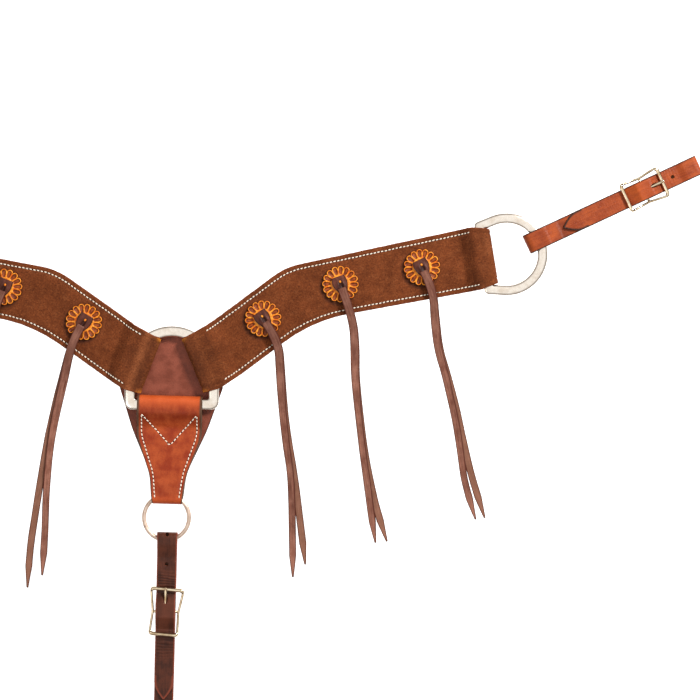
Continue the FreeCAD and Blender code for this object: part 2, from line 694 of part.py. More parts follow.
ON_ROSETTE = WING_TOP + size("rosette_height") + string_leather / 2 + 0.05
for side in SIDES:
    for number, spot in enumerate(ROSETTES[side], start=1):
        key = "%s_%d" % (side, number)
        first = FRONT_TAILS[key][0]
        heading = math.degrees(math.atan2(first[1] - spot[1], first[0] - spot[0]))
        rosette("%s_rosette_%d" % (side, number), spot)
        knot("%s_string_knot_%d" % (side, number), spot, heading)
        tail("%s_string_front_%d" % (side, number), spot, heading, FRONT_TAILS[key], EDGE_Y[key],
             string_leather + 0.3, ON_ROSETTE + string_leather + 0.2)
        tail("%s_string_back_%d" % (side, number), spot, heading, BACK_TAILS[key], EDGE_Y[key],
             0.1, ON_ROSETTE)

# ---------------------------------------------------------------- snap of the tie-down

axis_z = size("snap_axis_z")
EYE_BAR = TIE_LENGTH - strap - 2.3     # along the strap, inside its far fold
EYE_HALF = 14.5
EYE_NECK = EYE_BAR + 19

eye_members = [rod("snap_eye_bar", Vector(EYE_BAR, -EYE_HALF, axis_z), Vector(EYE_BAR, EYE_HALF, axis_z),
                   "snap_wire")]
for hand in (1, -1):
    label = "snap_eye_side_%s" % ("a" if hand > 0 else "b")
    corner = Vector(EYE_BAR, hand * EYE_HALF, axis_z)
    shoulder = Vector(EYE_BAR + 10, hand * EYE_HALF, axis_z)
    neck = Vector(EYE_NECK, 0, axis_z)
    eye_members.append(ball(label + "_corner", corner, "snap_wire"))
    eye_members.append(rod(label, corner, shoulder, "snap_wire"))
    eye_members.append(ball(label + "_shoulder", shoulder, "snap_wire"))
    eye_members.append(rod(label + "_slope", shoulder, neck, "snap_wire"))
eye_members.append(rod("snap_eye_stem", Vector(EYE_NECK, 0, axis_z), Vector(EYE_NECK + 9, 0, axis_z),
                       "snap_wire"))
stem_head = doc.addObject("Part::Cylinder", "snap_eye_head")
stem_head.Radius = 3.2
stem_head.Height = 1.8
stem_head.Placement = Placement(Vector(EYE_NECK + 7.4, 0, axis_z), Rotation(UP, RIGHT))
eye_members.append(stem_head)
fused("snap_eye", eye_members, tie_frame)

# Body: a barrel that turns on the eye's stem, then a flat cast hook.
BODY_START = EYE_NECK + 2.9
BARREL = 34.0
BARREL_END = BODY_START + BARREL
barrel = Part.makeCylinder(size("snap_barrel"), BARREL, Vector(BODY_START, 0, axis_z), RIGHT)
stem_hole = Part.makeCylinder(2.1, 12, Vector(BODY_START - 1, 0, axis_z), RIGHT)
head_room = Part.makeCylinder(3.4, 2.6, Vector(EYE_NECK + 7.1, 0, axis_z), RIGHT)
bolt_hole = Part.makeCylinder(2.6, 23.5, Vector(BARREL_END - 22.5, 0, axis_z), RIGHT)
knob_slot = Part.makeBox(14, 8, 2.4, Vector(BARREL_END - 18, 0, axis_z - 1.2))
barrel = barrel.cut(stem_hole).cut(head_room).cut(bolt_hole).cut(knob_slot)
HOOK_LENGTH = 38.0
hook_route = [(BARREL_END - 5, -6.6, 0), (BARREL_END + 6, -12, 10), (BARREL_END + HOOK_LENGTH, -13, 11),
              (BARREL_END + HOOK_LENGTH, 12, 11), (BARREL_END + 14, 9.5, 8), (BARREL_END + 14, -1.5, 0)]
hook = ribbon_face(hook_route, 5.4)
hook.translate(Vector(0, 0, axis_z - 3.6))
hook = hook.extrude(Vector(0, 0, 7.2))
hook = hook.cut(Part.makeCylinder(4.0, 14, Vector(BARREL_END - 14.2, 0, axis_z), RIGHT))
seat = Part.makeCylinder(2.6, 3.2, Vector(BARREL_END + 10, 0, axis_z), RIGHT)
body_solid = barrel.fuse(hook).cut(seat).removeSplitter()
shaped("snap_body", body_solid, tie_frame)

bolt = Part.makeCylinder(2.4, 26, Vector(BARREL_END - 13.5, 0, axis_z), RIGHT)
stem = Part.makeBox(3.2, 6.6, 2.0, Vector(BARREL_END - 7.7, 1.0, axis_z - 1.0))
thumb = Part.makeCylinder(2.6, 3.6, Vector(BARREL_END - 6.1, 8.6, axis_z - 1.8), UP)
shaped("snap_bolt", bolt.fuse(stem).fuse(thumb).removeSplitter(), tie_frame)

# ---------------------------------------------------------------- checks and files

doc.recompute()
for item in doc.Objects:
    if "Invalid" in item.State or "Error" in item.State:
        raise ValueError("%s failed: %s" % (item.Label, item.State))
for item in nodes:
    if item.Shape.isNull() or not item.Shape.isValid():
        raise ValueError("%s has no valid shape" % item.Label)
for item in nodes:
    item.Shape.exportStep("parts/%s.step" % item.Label)
print("%d nodes written" % len(nodes))
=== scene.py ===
import json
import math

import bmesh
import bpy
import numpy as np
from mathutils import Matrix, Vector, noise

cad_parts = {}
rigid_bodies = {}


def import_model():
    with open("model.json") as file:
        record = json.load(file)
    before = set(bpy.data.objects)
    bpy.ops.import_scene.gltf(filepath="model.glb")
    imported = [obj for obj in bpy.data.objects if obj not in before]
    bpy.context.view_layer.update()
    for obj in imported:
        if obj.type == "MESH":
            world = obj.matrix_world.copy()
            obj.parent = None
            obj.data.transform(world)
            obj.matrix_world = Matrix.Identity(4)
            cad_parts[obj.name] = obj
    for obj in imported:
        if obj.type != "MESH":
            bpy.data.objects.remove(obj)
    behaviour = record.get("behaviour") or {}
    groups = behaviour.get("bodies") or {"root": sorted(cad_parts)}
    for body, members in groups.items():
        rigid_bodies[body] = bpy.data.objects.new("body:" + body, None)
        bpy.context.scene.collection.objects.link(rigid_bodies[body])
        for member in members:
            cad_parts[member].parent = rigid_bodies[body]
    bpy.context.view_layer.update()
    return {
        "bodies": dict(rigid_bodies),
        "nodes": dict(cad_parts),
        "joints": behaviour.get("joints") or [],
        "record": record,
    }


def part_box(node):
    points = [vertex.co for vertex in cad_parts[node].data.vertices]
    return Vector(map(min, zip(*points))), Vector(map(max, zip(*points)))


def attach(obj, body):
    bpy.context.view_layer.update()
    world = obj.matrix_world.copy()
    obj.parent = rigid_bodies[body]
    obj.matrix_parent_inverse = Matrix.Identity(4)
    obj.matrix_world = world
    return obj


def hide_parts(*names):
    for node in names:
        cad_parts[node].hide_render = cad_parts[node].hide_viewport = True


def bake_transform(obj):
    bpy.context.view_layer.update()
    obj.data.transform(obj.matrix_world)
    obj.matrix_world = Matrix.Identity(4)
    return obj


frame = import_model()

# Pieces are in millimetres in the row frame until mesh() turns them into metres. The lights,
# the floor and the dome are in metres.
MM = 0.001
SIDES = ("right", "left")

# ---- camera

VIEW_CENTRE = (197.0, 20.0)
VIEW_WIDTH = 777.0
CAMERA_HEIGHT = 2600.0


def linked(name, data):
    """New object in the scene."""
    made = bpy.data.objects.new(name, data)
    bpy.context.scene.collection.objects.link(made)
    return made


lens = bpy.data.cameras.new("camera")
lens.sensor_width = 36
lens.lens = lens.sensor_width * CAMERA_HEIGHT / VIEW_WIDTH
lens.clip_start = 0.1
lens.clip_end = 20
camera = linked("camera", lens)
camera.location = (VIEW_CENTRE[0] * MM, VIEW_CENTRE[1] * MM, CAMERA_HEIGHT * MM)
bpy.context.scene.camera = camera

# ---- frames of the collar

RING_ARC = np.array([0.0, -5.5])
LEFT_SAG = 1.2
FOLD_ANGLE = 22.15
END_ANGLE = 9.1
TUG_ANGLE = 25.0
SIDE_RING = np.array([370.2, 125.9])


def level_of(name):
    """Height of a CAD node's middle, in millimetres."""
    low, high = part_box(name)
    return (low[2] / MM + high[2] / MM) / 2


def turned(points, degrees, pivot=(0.0, 0.0)):
    """Flat points turned about a pivot."""
    angle = math.radians(degrees)
    spin = np.array([[math.cos(angle), -math.sin(angle)], [math.sin(angle), math.cos(angle)]])
    return (np.asarray(points, float) - pivot) @ spin.T + pivot


def sided(side, places):
    """Places given on the right side, moved to their side."""
    out = np.array(places, float)
    if side == "left":
        out[..., 0] *= -1
        out[..., :2] = turned(out[..., :2], LEFT_SAG, RING_ARC)
    return out


class Frame:
    """Local frame that lies flat in the row, its X along a heading."""

    def __init__(self, spot, heading):
        self.spot = np.asarray(spot, float)
        self.heading = heading

    def place(self, points):
        out = np.array(points, float)
        out[..., :2] = turned(out[..., :2], self.heading) + self.spot
        return out

    def turn(self, vectors):
        out = np.array(vectors, float)
        out[..., :2] = turned(out[..., :2], self.heading)
        return out


RING_Z = level_of("centre_ring")
END_Z = level_of("right_d_ring")
FOLD_FROM_ARC = 24.0
loop_frame = Frame(RING_ARC + turned([FOLD_FROM_ARC, 0.0], FOLD_ANGLE), FOLD_ANGLE)
end_frame = Frame(SIDE_RING + turned([-14.0, 0.0], END_ANGLE), END_ANGLE)
tab_frame = Frame((-2.2, -40.2), -1.8)
SMALL_RING_Y = -125.3
SMALL_RING_RADIUS = 24.9
TIE_START = (1.6, SMALL_RING_Y - SMALL_RING_RADIUS + 8.8, 0)
TIE_HEADING = -91.4
tie_frame = Frame(tab_frame.place([TIE_START])[0][:2], TIE_HEADING)

# ---- curves


def columns(*parts):
    """Lists of numbers side by side, as the coordinates of points."""
    return np.stack(parts, axis=1)


def unit(vectors):
    return vectors / np.linalg.norm(vectors, axis=1)[:, None]


def travelled(points):
    """Distance along a line at each of its points."""
    return np.concatenate([[0], np.cumsum(np.linalg.norm(np.diff(points, axis=0), axis=1))])


def evenly(points, step):
    """The polyline again with points about step apart."""
    points = np.asarray(points, float)
    along = travelled(points)
    count = max(2, math.ceil(along[-1] / step) + 1)
    at = np.linspace(0, along[-1], count)
    return columns(*(np.interp(at, along, part) for part in points.T))


def rounded(route, step=1.5, closed=False):
    """Evenly spaced points along straight runs and the arcs that round (x, y, radius) corners."""
    spots = np.array([corner[:2] for corner in route], float)
    count = len(route)
    out = []
    for i, (x, y, radius) in enumerate(route):
        if radius == 0 or (not closed and i in (0, count - 1)):
            out.append(spots[i])
            continue
        into = spots[i] - spots[i - 1]
        away = spots[(i + 1) % count] - spots[i]
        into /= np.linalg.norm(into)
        away /= np.linalg.norm(away)
        turn = math.atan2(into[0] * away[1] - into[1] * away[0], into @ away)
        entry = spots[i] - into * radius * math.tan(abs(turn) / 2)
        centre = entry + np.array([-into[1], into[0]]) * math.copysign(radius, turn)
        pieces = max(2, math.ceil(abs(turn) / 0.1))
        for k in range(pieces + 1):
            out.append(turned([entry], math.degrees(turn) * k / pieces, centre)[0])
    if closed:
        out.append(out[0])
    points = evenly(out, step)
    return points[:-1] if closed else points


def lifted(flat, height):
    """Flat points with a height, one for all or one for each."""
    return np.concatenate([flat, np.broadcast_to(height, (len(flat),))[:, None]], axis=1)


def directions(points):
    """Unit direction of travel at each point of a line."""
    return unit(np.gradient(np.asarray(points, float), axis=0))


def round_directions(points):
    """The same for a closed line."""
    return unit(np.roll(points, -1, axis=0) - np.roll(points, 1, axis=0))


def smooth(values, reach):
    """Values along a line averaged with a bell of that many points."""
    span = np.arange(-3 * reach, 3 * reach + 1)
    bell = np.exp(-0.5 * (span / reach) ** 2)
    padded = np.pad(values, 3 * reach, mode="edge")
    return np.convolve(padded, bell / bell.sum(), mode="valid")


def waves(points, scale, seed=0.0):
    """Smooth noise from -1 to 1 at each place, with features about scale long."""
    return np.array([noise.noise(Vector((p[0] / scale + seed, p[1] / scale, p[2] / scale + seed)))
                     for p in points])


def rumpled(u, y, scale, seed):
    """The same noise over a sheet, from its places along and across."""
    return waves(columns(u.ravel(), y.ravel(), 0 * u.ravel()), scale, seed).reshape(u.shape)


def upright(count):
    """Side directions of lines that run along X."""
    return np.tile([0.0, 1.0, 0.0], (count, 1))


# ---- meshes

def mesh(name, points, faces, material, body, side="right", uv=None, marks=None, replaces=()):
    """Object from places in millimetres, on its side, riding on its body."""
    data = bpy.data.meshes.new(name)
    places = sided(side, points) * MM
    data.from_pydata(places.tolist(), [], [list(face) for face in faces])
    for mark, values in (marks or {}).items():
        attribute = data.attributes.new(mark, "FLOAT", "POINT")
        attribute.data.foreach_set("value", np.asarray(values, np.float32))
    if uv is not None:
        layer = data.uv_layers.new(name="leather")
        corners = np.zeros(len(data.loops), np.int32)
        data.loops.foreach_get("vertex_index", corners)
        shift = np.array([abs(hash_of(name)) % 7, abs(hash_of(name)) % 5]) * 0.37
        layer.data.foreach_set("uv", (np.asarray(uv)[corners] * MM + shift).astype(np.float32).ravel())
    work = bmesh.new()
    work.from_mesh(data)
    bmesh.ops.recalc_face_normals(work, faces=work.faces)
    work.to_mesh(data)
    work.free()
    data.polygons.foreach_set("use_smooth", [True] * len(data.polygons))
    data.materials.append(material)
    piece = linked(name, data)
    if body:
        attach(piece, body)
    if replaces:
        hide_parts(*replaces)
    return piece


def hash_of(text):
    """A small number that is the same for a name on every run."""
    return sum((i + 1) * ord(letter) for i, letter in enumerate(text))


def tube_faces(rings, around, closed):
    """Quads between rings of points, and the two end faces of an open tube."""
    faces = []
    for i in range(rings if closed else rings - 1):
        for j in range(around):
            a = i * around + j
            b = i * around + (j + 1) % around
            after = ((i + 1) % rings) * around
            faces.append((a, b, after + (j + 1) % around, after + j))
    if not closed:
        faces.append(tuple(range(around)))
        faces.append(tuple(reversed(range((rings - 1) * around, rings * around))))
    return faces


def wire(path, radius, closed=False, around=14, squash=1.0):
    """Round wire along a line; radius may change along it."""
    path = np.asarray(path, float)
    radii = np.broadcast_to(radius, (len(path),))
    along = round_directions(path) if closed else directions(path)
    flat = np.cross(np.array([0.0, 0.0, 1.0]), along)
    weak = np.linalg.norm(flat, axis=1) < 1e-3
    flat[weak] = (0.0, 1.0, 0.0)
    flat = unit(flat)
    up = np.cross(along, flat)
    turn = np.linspace(0, 2 * math.pi, around, endpoint=False)
    points = (path[:, None] + radii[:, None, None]
              * (flat[:, None] * np.cos(turn)[None, :, None]
                 + up[:, None] * np.sin(turn)[None, :, None] * squash))
    return points.reshape(-1, 3), tube_faces(len(path), around, closed)


def joined(parts):
    """Several (points, faces) as one."""
    points = []
    faces = []
    for some_points, some_faces in parts:
        offset = sum(len(p) for p in points)
        points.append(some_points)
        faces += [tuple(i + offset for i in face) for face in some_faces]
    return np.concatenate(points), faces


def edge_turns():
    """How far in, as a share, and how high an edge's rounding is, from its top down."""
    for angle in (60, 30, 0, -30, -60):
        c, s = math.cos(math.radians(angle)), math.sin(math.radians(angle))
        yield 1 - c, math.copysign(abs(s) ** 0.6, s)


def band(line, across, normal, low, high, thick, insets, middle, relief=None):
    """Leather strip with rounded edges along a line, as points, faces, uv and marks.

    low and high are the edges' places along across, insets the rows of points kept at a
    distance inside each edge, middle the number of rows between, relief(u, y, inset) the
    height added to the outer face."""
    line = np.asarray(line, float)
    count = len(line)
    half = np.broadcast_to(np.asarray(thick, float) / 2, (count,))
    low = np.broadcast_to(np.asarray(low, float), (count,))
    high = np.broadcast_to(np.asarray(high, float), (count,))
    width = high - low
    shrink = np.minimum(1.0, width / (2.2 * insets[-1]))
    edge = insets[0]
    fractions = (np.arange(middle) + 1) / (middle + 1)
    top = [(-1, d, 1.0) for d in insets] + [(0, f, 1.0) for f in fractions]
    top += [(1, d, 1.0) for d in reversed(insets)]
    rim = [(edge * share, height) for share, height in edge_turns()]
    spots = top + [(1, inset, level) for inset, level in rim]
    spots += [(anchor, d, -1.0) for anchor, d, level in reversed(top)]
    spots += [(-1, inset, level) for inset, level in reversed(rim)]
    y = np.zeros((count, len(spots)))
    level = np.zeros_like(y)
    for j, (anchor, d, height) in enumerate(spots):
        if anchor < 0:
            y[:, j] = low + d * shrink
        elif anchor > 0:
            y[:, j] = high - d * shrink
        else:
            inner = insets[-1] * shrink
            y[:, j] = low + inner + (width - 2 * inner) * d
        level[:, j] = height
    along = travelled(line)
    u = np.repeat(along[:, None], len(spots), axis=1)
    inset = np.minimum(y - low[:, None], high[:, None] - y)
    raised = level * half[:, None]
    if relief is not None:
        raised = raised + np.where(level > 0.99, relief(u, y, inset), 0.0)
    points = line[:, None] + across[:, None] * y[:, :, None] + normal[:, None] * raised[:, :, None]
    uv = np.stack([u, y + raised], axis=2).reshape(-1, 2)
    marks = {"edge": np.where(np.abs(level) > 0.99, inset, 0.0).ravel(),
             "flesh": (level < -0.99).astype(float).ravel(), "along": u.ravel(), "over": y.ravel()}
    return points.reshape(-1, 3), tube_faces(count, len(spots), False), uv, marks


def bell(values, centre, width):
    return np.exp(-0.5 * ((values - centre) / width) ** 2)


def step_up(values, start, end):
    """0 before start, 1 after end, smooth between."""
    t = np.clip((np.asarray(values, float) - start) / (end - start), 0, 1)
    return t * t * (3 - 2 * t)

# ---- shaders


class Shader:
    """A Principled material whose base colour is laid on in layers."""

    def __init__(self, name, **fixed):
        self.material = bpy.data.materials.new(name)
        self.material.use_nodes = True
        self.tree = self.material.node_tree
        self.tree.nodes.clear()
        self.surface = self.node("BsdfPrincipled")
        output = self.node("OutputMaterial")
        self.tree.links.new(self.surface.outputs["BSDF"], output.inputs["Surface"])
        for socket, value in fixed.items():
            self.surface.inputs[socket.replace("_", " ")].default_value = value

    def node(self, kind, **settings):
        made = self.tree.nodes.new("ShaderNode" + kind)
        for key, value in settings.items():
            setattr(made, key, value)
        return made

    def feed(self, socket, value):
        if isinstance(value, bpy.types.NodeSocket):
            self.tree.links.new(value, socket)
        elif hasattr(value, "__len__") and len(value) == 3 and socket.type == "RGBA":
            socket.default_value = (*value, 1.0)
        else:
            socket.default_value = value

    def place(self, uv=True):
        return self.node("TexCoord").outputs["UV" if uv else "Object"]

    def mark(self, name):
        return self.node("Attribute", attribute_name=name).outputs["Fac"]

    def noise(self, where, feature, detail=3.0, rough=0.55, stretch=None):
        """Noise with features about so many millimetres long."""
        if stretch is not None:
            mapping = self.node("Mapping")
            self.feed(mapping.inputs["Vector"], where)
            mapping.inputs["Scale"].default_value = (stretch, 1.0, 1.0)
            where = mapping.outputs["Vector"]
        texture = self.node("TexNoise")
        for socket, value in (("Vector", where), ("Scale", 1.0 / (feature * MM)),
                              ("Detail", detail), ("Roughness", rough)):
            self.feed(texture.inputs[socket], value)
        return texture.outputs["Fac"]

    def cells(self, where, feature):
        texture = self.node("TexVoronoi", feature="F1")
        self.feed(texture.inputs["Vector"], where)
        texture.inputs["Scale"].default_value = 1.0 / (feature * MM)
        return texture.outputs["Distance"]

    def between(self, value, low, high, out_low=0.0, out_high=1.0):
        """Maps a value smoothly from one range to another."""
        mapped = self.node("MapRange", interpolation_type="SMOOTHSTEP")
        for socket, number in zip(mapped.inputs[:5], (value, low, high, out_low, out_high)):
            self.feed(socket, number)
        return mapped.outputs["Result"]

    def math(self, operation, first, second):
        made = self.node("Math", operation=operation)
        self.feed(made.inputs[0], first)
        self.feed(made.inputs[1], second)
        return made.outputs[0]

    def plus(self, first, second):
        return self.math("ADD", first, second)

    def times(self, first, second):
        return self.math("MULTIPLY", first, second)

    def mix(self, share, first, second):
        made = self.node("Mix", data_type="RGBA", blend_type="MIX")
        sockets = [s for s in made.inputs if s.enabled]
        for socket, value in zip(sockets, (share, first, second)):
            self.feed(socket, value)
        return next(s for s in made.outputs if s.enabled)

    def lay(self, share, colour):
        """Mixes a colour over the base colour."""
        self.base = self.mix(share, self.base, colour)

    def finish(self, roughness, height=None, depth=0.0, strength=1.0):
        """Connects colour, roughness and a bump whose height of 1 stands depth mm high."""
        self.feed(self.surface.inputs["Base Color"], self.base)
        self.feed(self.surface.inputs["Roughness"], roughness)
        if height is not None:
            made = self.node("Bump")
            made.inputs["Strength"].default_value = strength
            made.inputs["Distance"].default_value = depth * MM
            self.feed(made.inputs["Height"], height)
            self.feed(self.surface.inputs["Normal"], made.outputs["Normal"])
        return self.material


def tint(red, green, blue):
    """Screen colour, each part 0 to 255, as the linear light that a shader takes."""
    return tuple(share / 12.92 if share <= 0.04045 else ((share + 0.055) / 1.055) ** 2.4
                 for share in (red / 255, green / 255, blue / 255))


def dimmed(colour, factor):
    return tuple(min(1.0, factor * part) for part in colour)


def roughout_leather():
    """Suede side out: mottled nap, paler cut edges, golden wear where it is folded, and wear, painted
    highlight, painted shade and painted shadow laid on from its marks.
    """
    s = Shader("roughout", Specular_IOR_Level=0.12)
    where = s.place()
    clouds = s.noise(where, 26, 2.0, 0.5)
    blotches = s.noise(where, 7, 3.0, 0.6)
    nap = s.noise(where, 1.9, 4.0, 0.8)
    s.base = s.mix(s.between(clouds, 0.35, 0.65), tint(100, 49, 23), tint(118, 60, 30))
    s.lay(s.between(blotches, 0.45, 0.75, 0.0, 0.4), tint(140, 80, 46))
    s.lay(s.between(blotches, 0.5, 0.25, 0.0, 0.4), tint(84, 40, 20))
    s.lay(s.between(nap, 0.52, 0.36, 0.0, 0.75), tint(66, 31, 15))
    s.lay(s.between(nap, 0.54, 0.7, 0.0, 0.6), tint(162, 94, 52))
    # Wear, and the painted highlight by the inner fold of the wing.
    s.lay(s.times(s.mark("worn"), s.between(nap, 0.35, 0.62, 0.35, 1.0)), tint(164, 96, 58))
    s.lay(s.times(s.mark("gold"), s.between(nap, 0.3, 0.6, 0.5, 1.0)), tint(214, 132, 44))
    # Painted shade along the folds and painted shadows of the rosettes.
    s.lay(s.times(s.mark("dark"), 0.75), tint(52, 28, 20))
    rim = s.between(s.mark("edge"), 1.1, 0.1)
    s.lay(s.times(rim, s.between(blotches, 0.3, 0.6, 0.3, 0.9)), tint(128, 62, 28))
    fibres = s.plus(nap, s.times(s.noise(where, 0.5, 2.0, 0.7), 0.6))
    return s.finish(s.between(nap, 0.2, 0.8, 0.85, 1.0), fibres, 0.6, 0.8)


def lining_leather():
    """Smooth lining under the wings."""
    s = Shader("lining", Specular_IOR_Level=0.35)
    where = s.place()
    clouds = s.noise(where, 18, 3.0, 0.55)
    s.base = s.mix(s.between(clouds, 0.3, 0.7), tint(112, 64, 40), tint(150, 92, 58))
    s.lay(s.between(s.mark("edge"), 1.6, 0.4), tint(104, 56, 32))
    s.lay(s.between(s.noise(where, 1.2, 4.0, 0.7), 0.4, 0.7, 0.0, 0.25), tint(80, 44, 28))
    grain = s.plus(s.cells(where, 0.9), s.noise(where, 3.0))
    return s.finish(s.between(clouds, 0.3, 0.7, 0.5, 0.68), grain, 0.12, 0.5)


def strap_leather(name, dark, light, edge, flesh, gloss, edge_reach=0.9, lined=0.2):
    """Smooth strap leather: grain, pull-up clouds, burnished edges and a matt flesh side."""
    s = Shader(name, Specular_IOR_Level=0.2)
    where = s.place()
    clouds = s.noise(where, 15, 3.0, 0.55)
    streaks = s.noise(where, 5, 3.0, 0.6, stretch=0.35)
    lines = s.noise(where, 1.5, 2.0, 0.6, stretch=0.07)
    grain = s.noise(where, 1.4, 4.0, 0.75)
    s.base = s.mix(s.between(clouds, 0.32, 0.68), dark, light)
    s.lay(s.between(streaks, 0.45, 0.75, 0.0, 0.4), light)
    s.lay(s.between(streaks, 0.5, 0.25, 0.0, 0.35), dark)
    s.lay(s.between(lines, 0.52, 0.66, 0.0, lined), dimmed(light, 1.5))
    s.lay(s.between(lines, 0.48, 0.34, 0.0, lined), dimmed(dark, 0.6))
    s.lay(s.between(grain, 0.5, 0.66, 0.0, 0.4), dimmed(dark, 0.55))
    # Paler where marked: wear, painted highlights on the tab's folds and painted sheen between the buckle
    # bars; the strings paler towards their tips.
    s.lay(s.mark("worn"), dimmed(light, 1.55))
    # Darker where marked: painted shade and shadow on the straps, the tab and the knots' slits; the knots
    # a little darker all over, the strings darker near their knots.
    s.lay(s.times(s.mark("dark"), 0.8), dimmed(dark, 0.4))
    s.lay(s.times(s.mark("flesh"), 0.85), flesh)
    s.lay(s.between(s.mark("edge"), edge_reach + 0.6, edge_reach * 0.5), edge)
    creases = s.plus(s.cells(where, 1.1), s.times(grain, 0.8))
    return s.finish(s.between(s.plus(clouds, s.mark("flesh")), 0.3, 1.2, gloss, 0.9), creases, 0.3, 0.6)


def rosette_leather():
    """Carved leather: golden rims, antique stain in the hollows."""
    s = Shader("rosette", Specular_IOR_Level=0.2)
    where = s.place(uv=False)
    clouds = s.noise(where, 4, 3.0, 0.6)
    high = s.between(s.plus(s.mark("rim"), s.times(clouds, 0.25)), 0.35, 0.85)
    patches = s.between(clouds, 0.35, 0.65)
    s.base = s.mix(patches, tint(104, 42, 12), tint(150, 70, 28))
    s.lay(high, s.mix(patches, tint(214, 98, 14), tint(255, 164, 52)))
    s.lay(s.mark("dark"), tint(34, 14, 8))
    return s.finish(s.between(clouds, 0.2, 0.8, 0.32, 0.5), s.noise(where, 0.7, 3.0, 0.6), 0.12, 0.4)


def thread_material():
    """Waxed thread, laid in twisted plies."""
    s = Shader("thread", Specular_IOR_Level=0.3)
    plies = s.noise(s.place(uv=False), 0.6, 2.0, 0.6)
    s.base = s.mix(s.between(plies, 0.3, 0.7), tint(222, 204, 176), tint(255, 248, 234))
    return s.finish(s.between(plies, 0.3, 0.7, 0.6, 0.8), plies, 0.1, 0.5)


def hole_material():
    """Painted shade for the inside of punched and sewn holes."""
    s = Shader("hole", Specular_IOR_Level=0.1)
    shade = s.noise(s.place(uv=False), 1.0)
    s.base = s.mix(shade, tint(20, 12, 10), tint(44, 26, 20))
    return s.finish(s.between(shade, 0, 1, 0.85, 0.95))


def metal(name, pale, deep, rough):
    """Polished metal with faint tarnish and fine polishing marks."""
    s = Shader(name, Metallic=1.0)
    where = s.place(uv=False)
    tarnish = s.noise(where, 9, 3.0, 0.6)
    marks = s.noise(where, 1.2, 3.0, 0.6, stretch=0.25)
    s.base = s.mix(s.between(tarnish, 0.35, 0.8), pale, deep)
    return s.finish(s.between(s.plus(tarnish, marks), 0.7, 1.3, rough, rough + 0.08), marks, 0.003, 0.2)


ROUGHOUT = roughout_leather()
LINING = lining_leather()
STRING = strap_leather("string", tint(112, 64, 48), tint(146, 98, 80), tint(80, 34, 20),
                       tint(130, 94, 74), 0.44, 0.8, 0.4)
RUSSET = strap_leather("russet", tint(130, 50, 16), tint(160, 71, 26), tint(50, 27, 17),
                       tint(170, 118, 84), 0.36, 1.1)
SHIELD_LEATHER = strap_leather("shield", tint(114, 54, 36), tint(140, 73, 54), tint(64, 30, 20),
                               tint(140, 100, 80), 0.36, lined=0.0)
TIE_LEATHER = strap_leather("tie_down", tint(58, 26, 14), tint(88, 44, 28), tint(126, 58, 38),
                            tint(112, 78, 62), 0.36, 1.1)
TAB_LEATHER = strap_leather("tab", tint(142, 46, 13), tint(177, 77, 34), tint(88, 60, 42),
                            tint(170, 118, 84), 0.34, 1.7, lined=0.0)
KNOT_LEATHER = strap_leather("knot", tint(66, 28, 18), tint(112, 58, 42), tint(48, 20, 12),
                             tint(130, 94, 74), 0.4, 0.9)
ROSETTE = rosette_leather()
THREAD = thread_material()
HOLE = hole_material()
NICKEL = metal("nickel", tint(243, 233, 220), tint(224, 208, 190), 0.16)
SNAP_METAL = metal("snap_metal", tint(216, 206, 194), tint(172, 162, 150), 0.2)
SMALL_RING_METAL = metal("small_ring_metal", tint(226, 204, 186), tint(188, 160, 140), 0.5)
BUCKLE_METAL = metal("buckle_metal", tint(240, 222, 190), tint(176, 144, 104), 0.1)

# ---- string tails

WING_TOP = 4.85
ROSETTE_TOP = 8.1
KNOT_TOP = 10.2
ROSETTE_REACH = 20.8
KNOT_REACH = 8.0
ROSETTES = {"right": [(100.8, 54.7), (186.4, 92.9), (276.6, 111.6)],
            "left": [(-97.6, 51.1), (-185.9, 89.9), (-279.0, 106.0)]}
WING_OUTLINE = [(10.4, 31.6, 2), (39.0, 47.8, 60), (125.4, 111.9, 78), (330.8, 155.9, 40),
                (351.5, 153.7, 2.5), (360.9, 94.2, 2.5), (342.4, 86.8, 40), (156.5, 52.9, 170),
                (76.0, -7.2, 60), (52.7, -22.8, 30), (34.1, -27.6, 2)]
wing_edge = rounded(WING_OUTLINE, 1.0, closed=True)

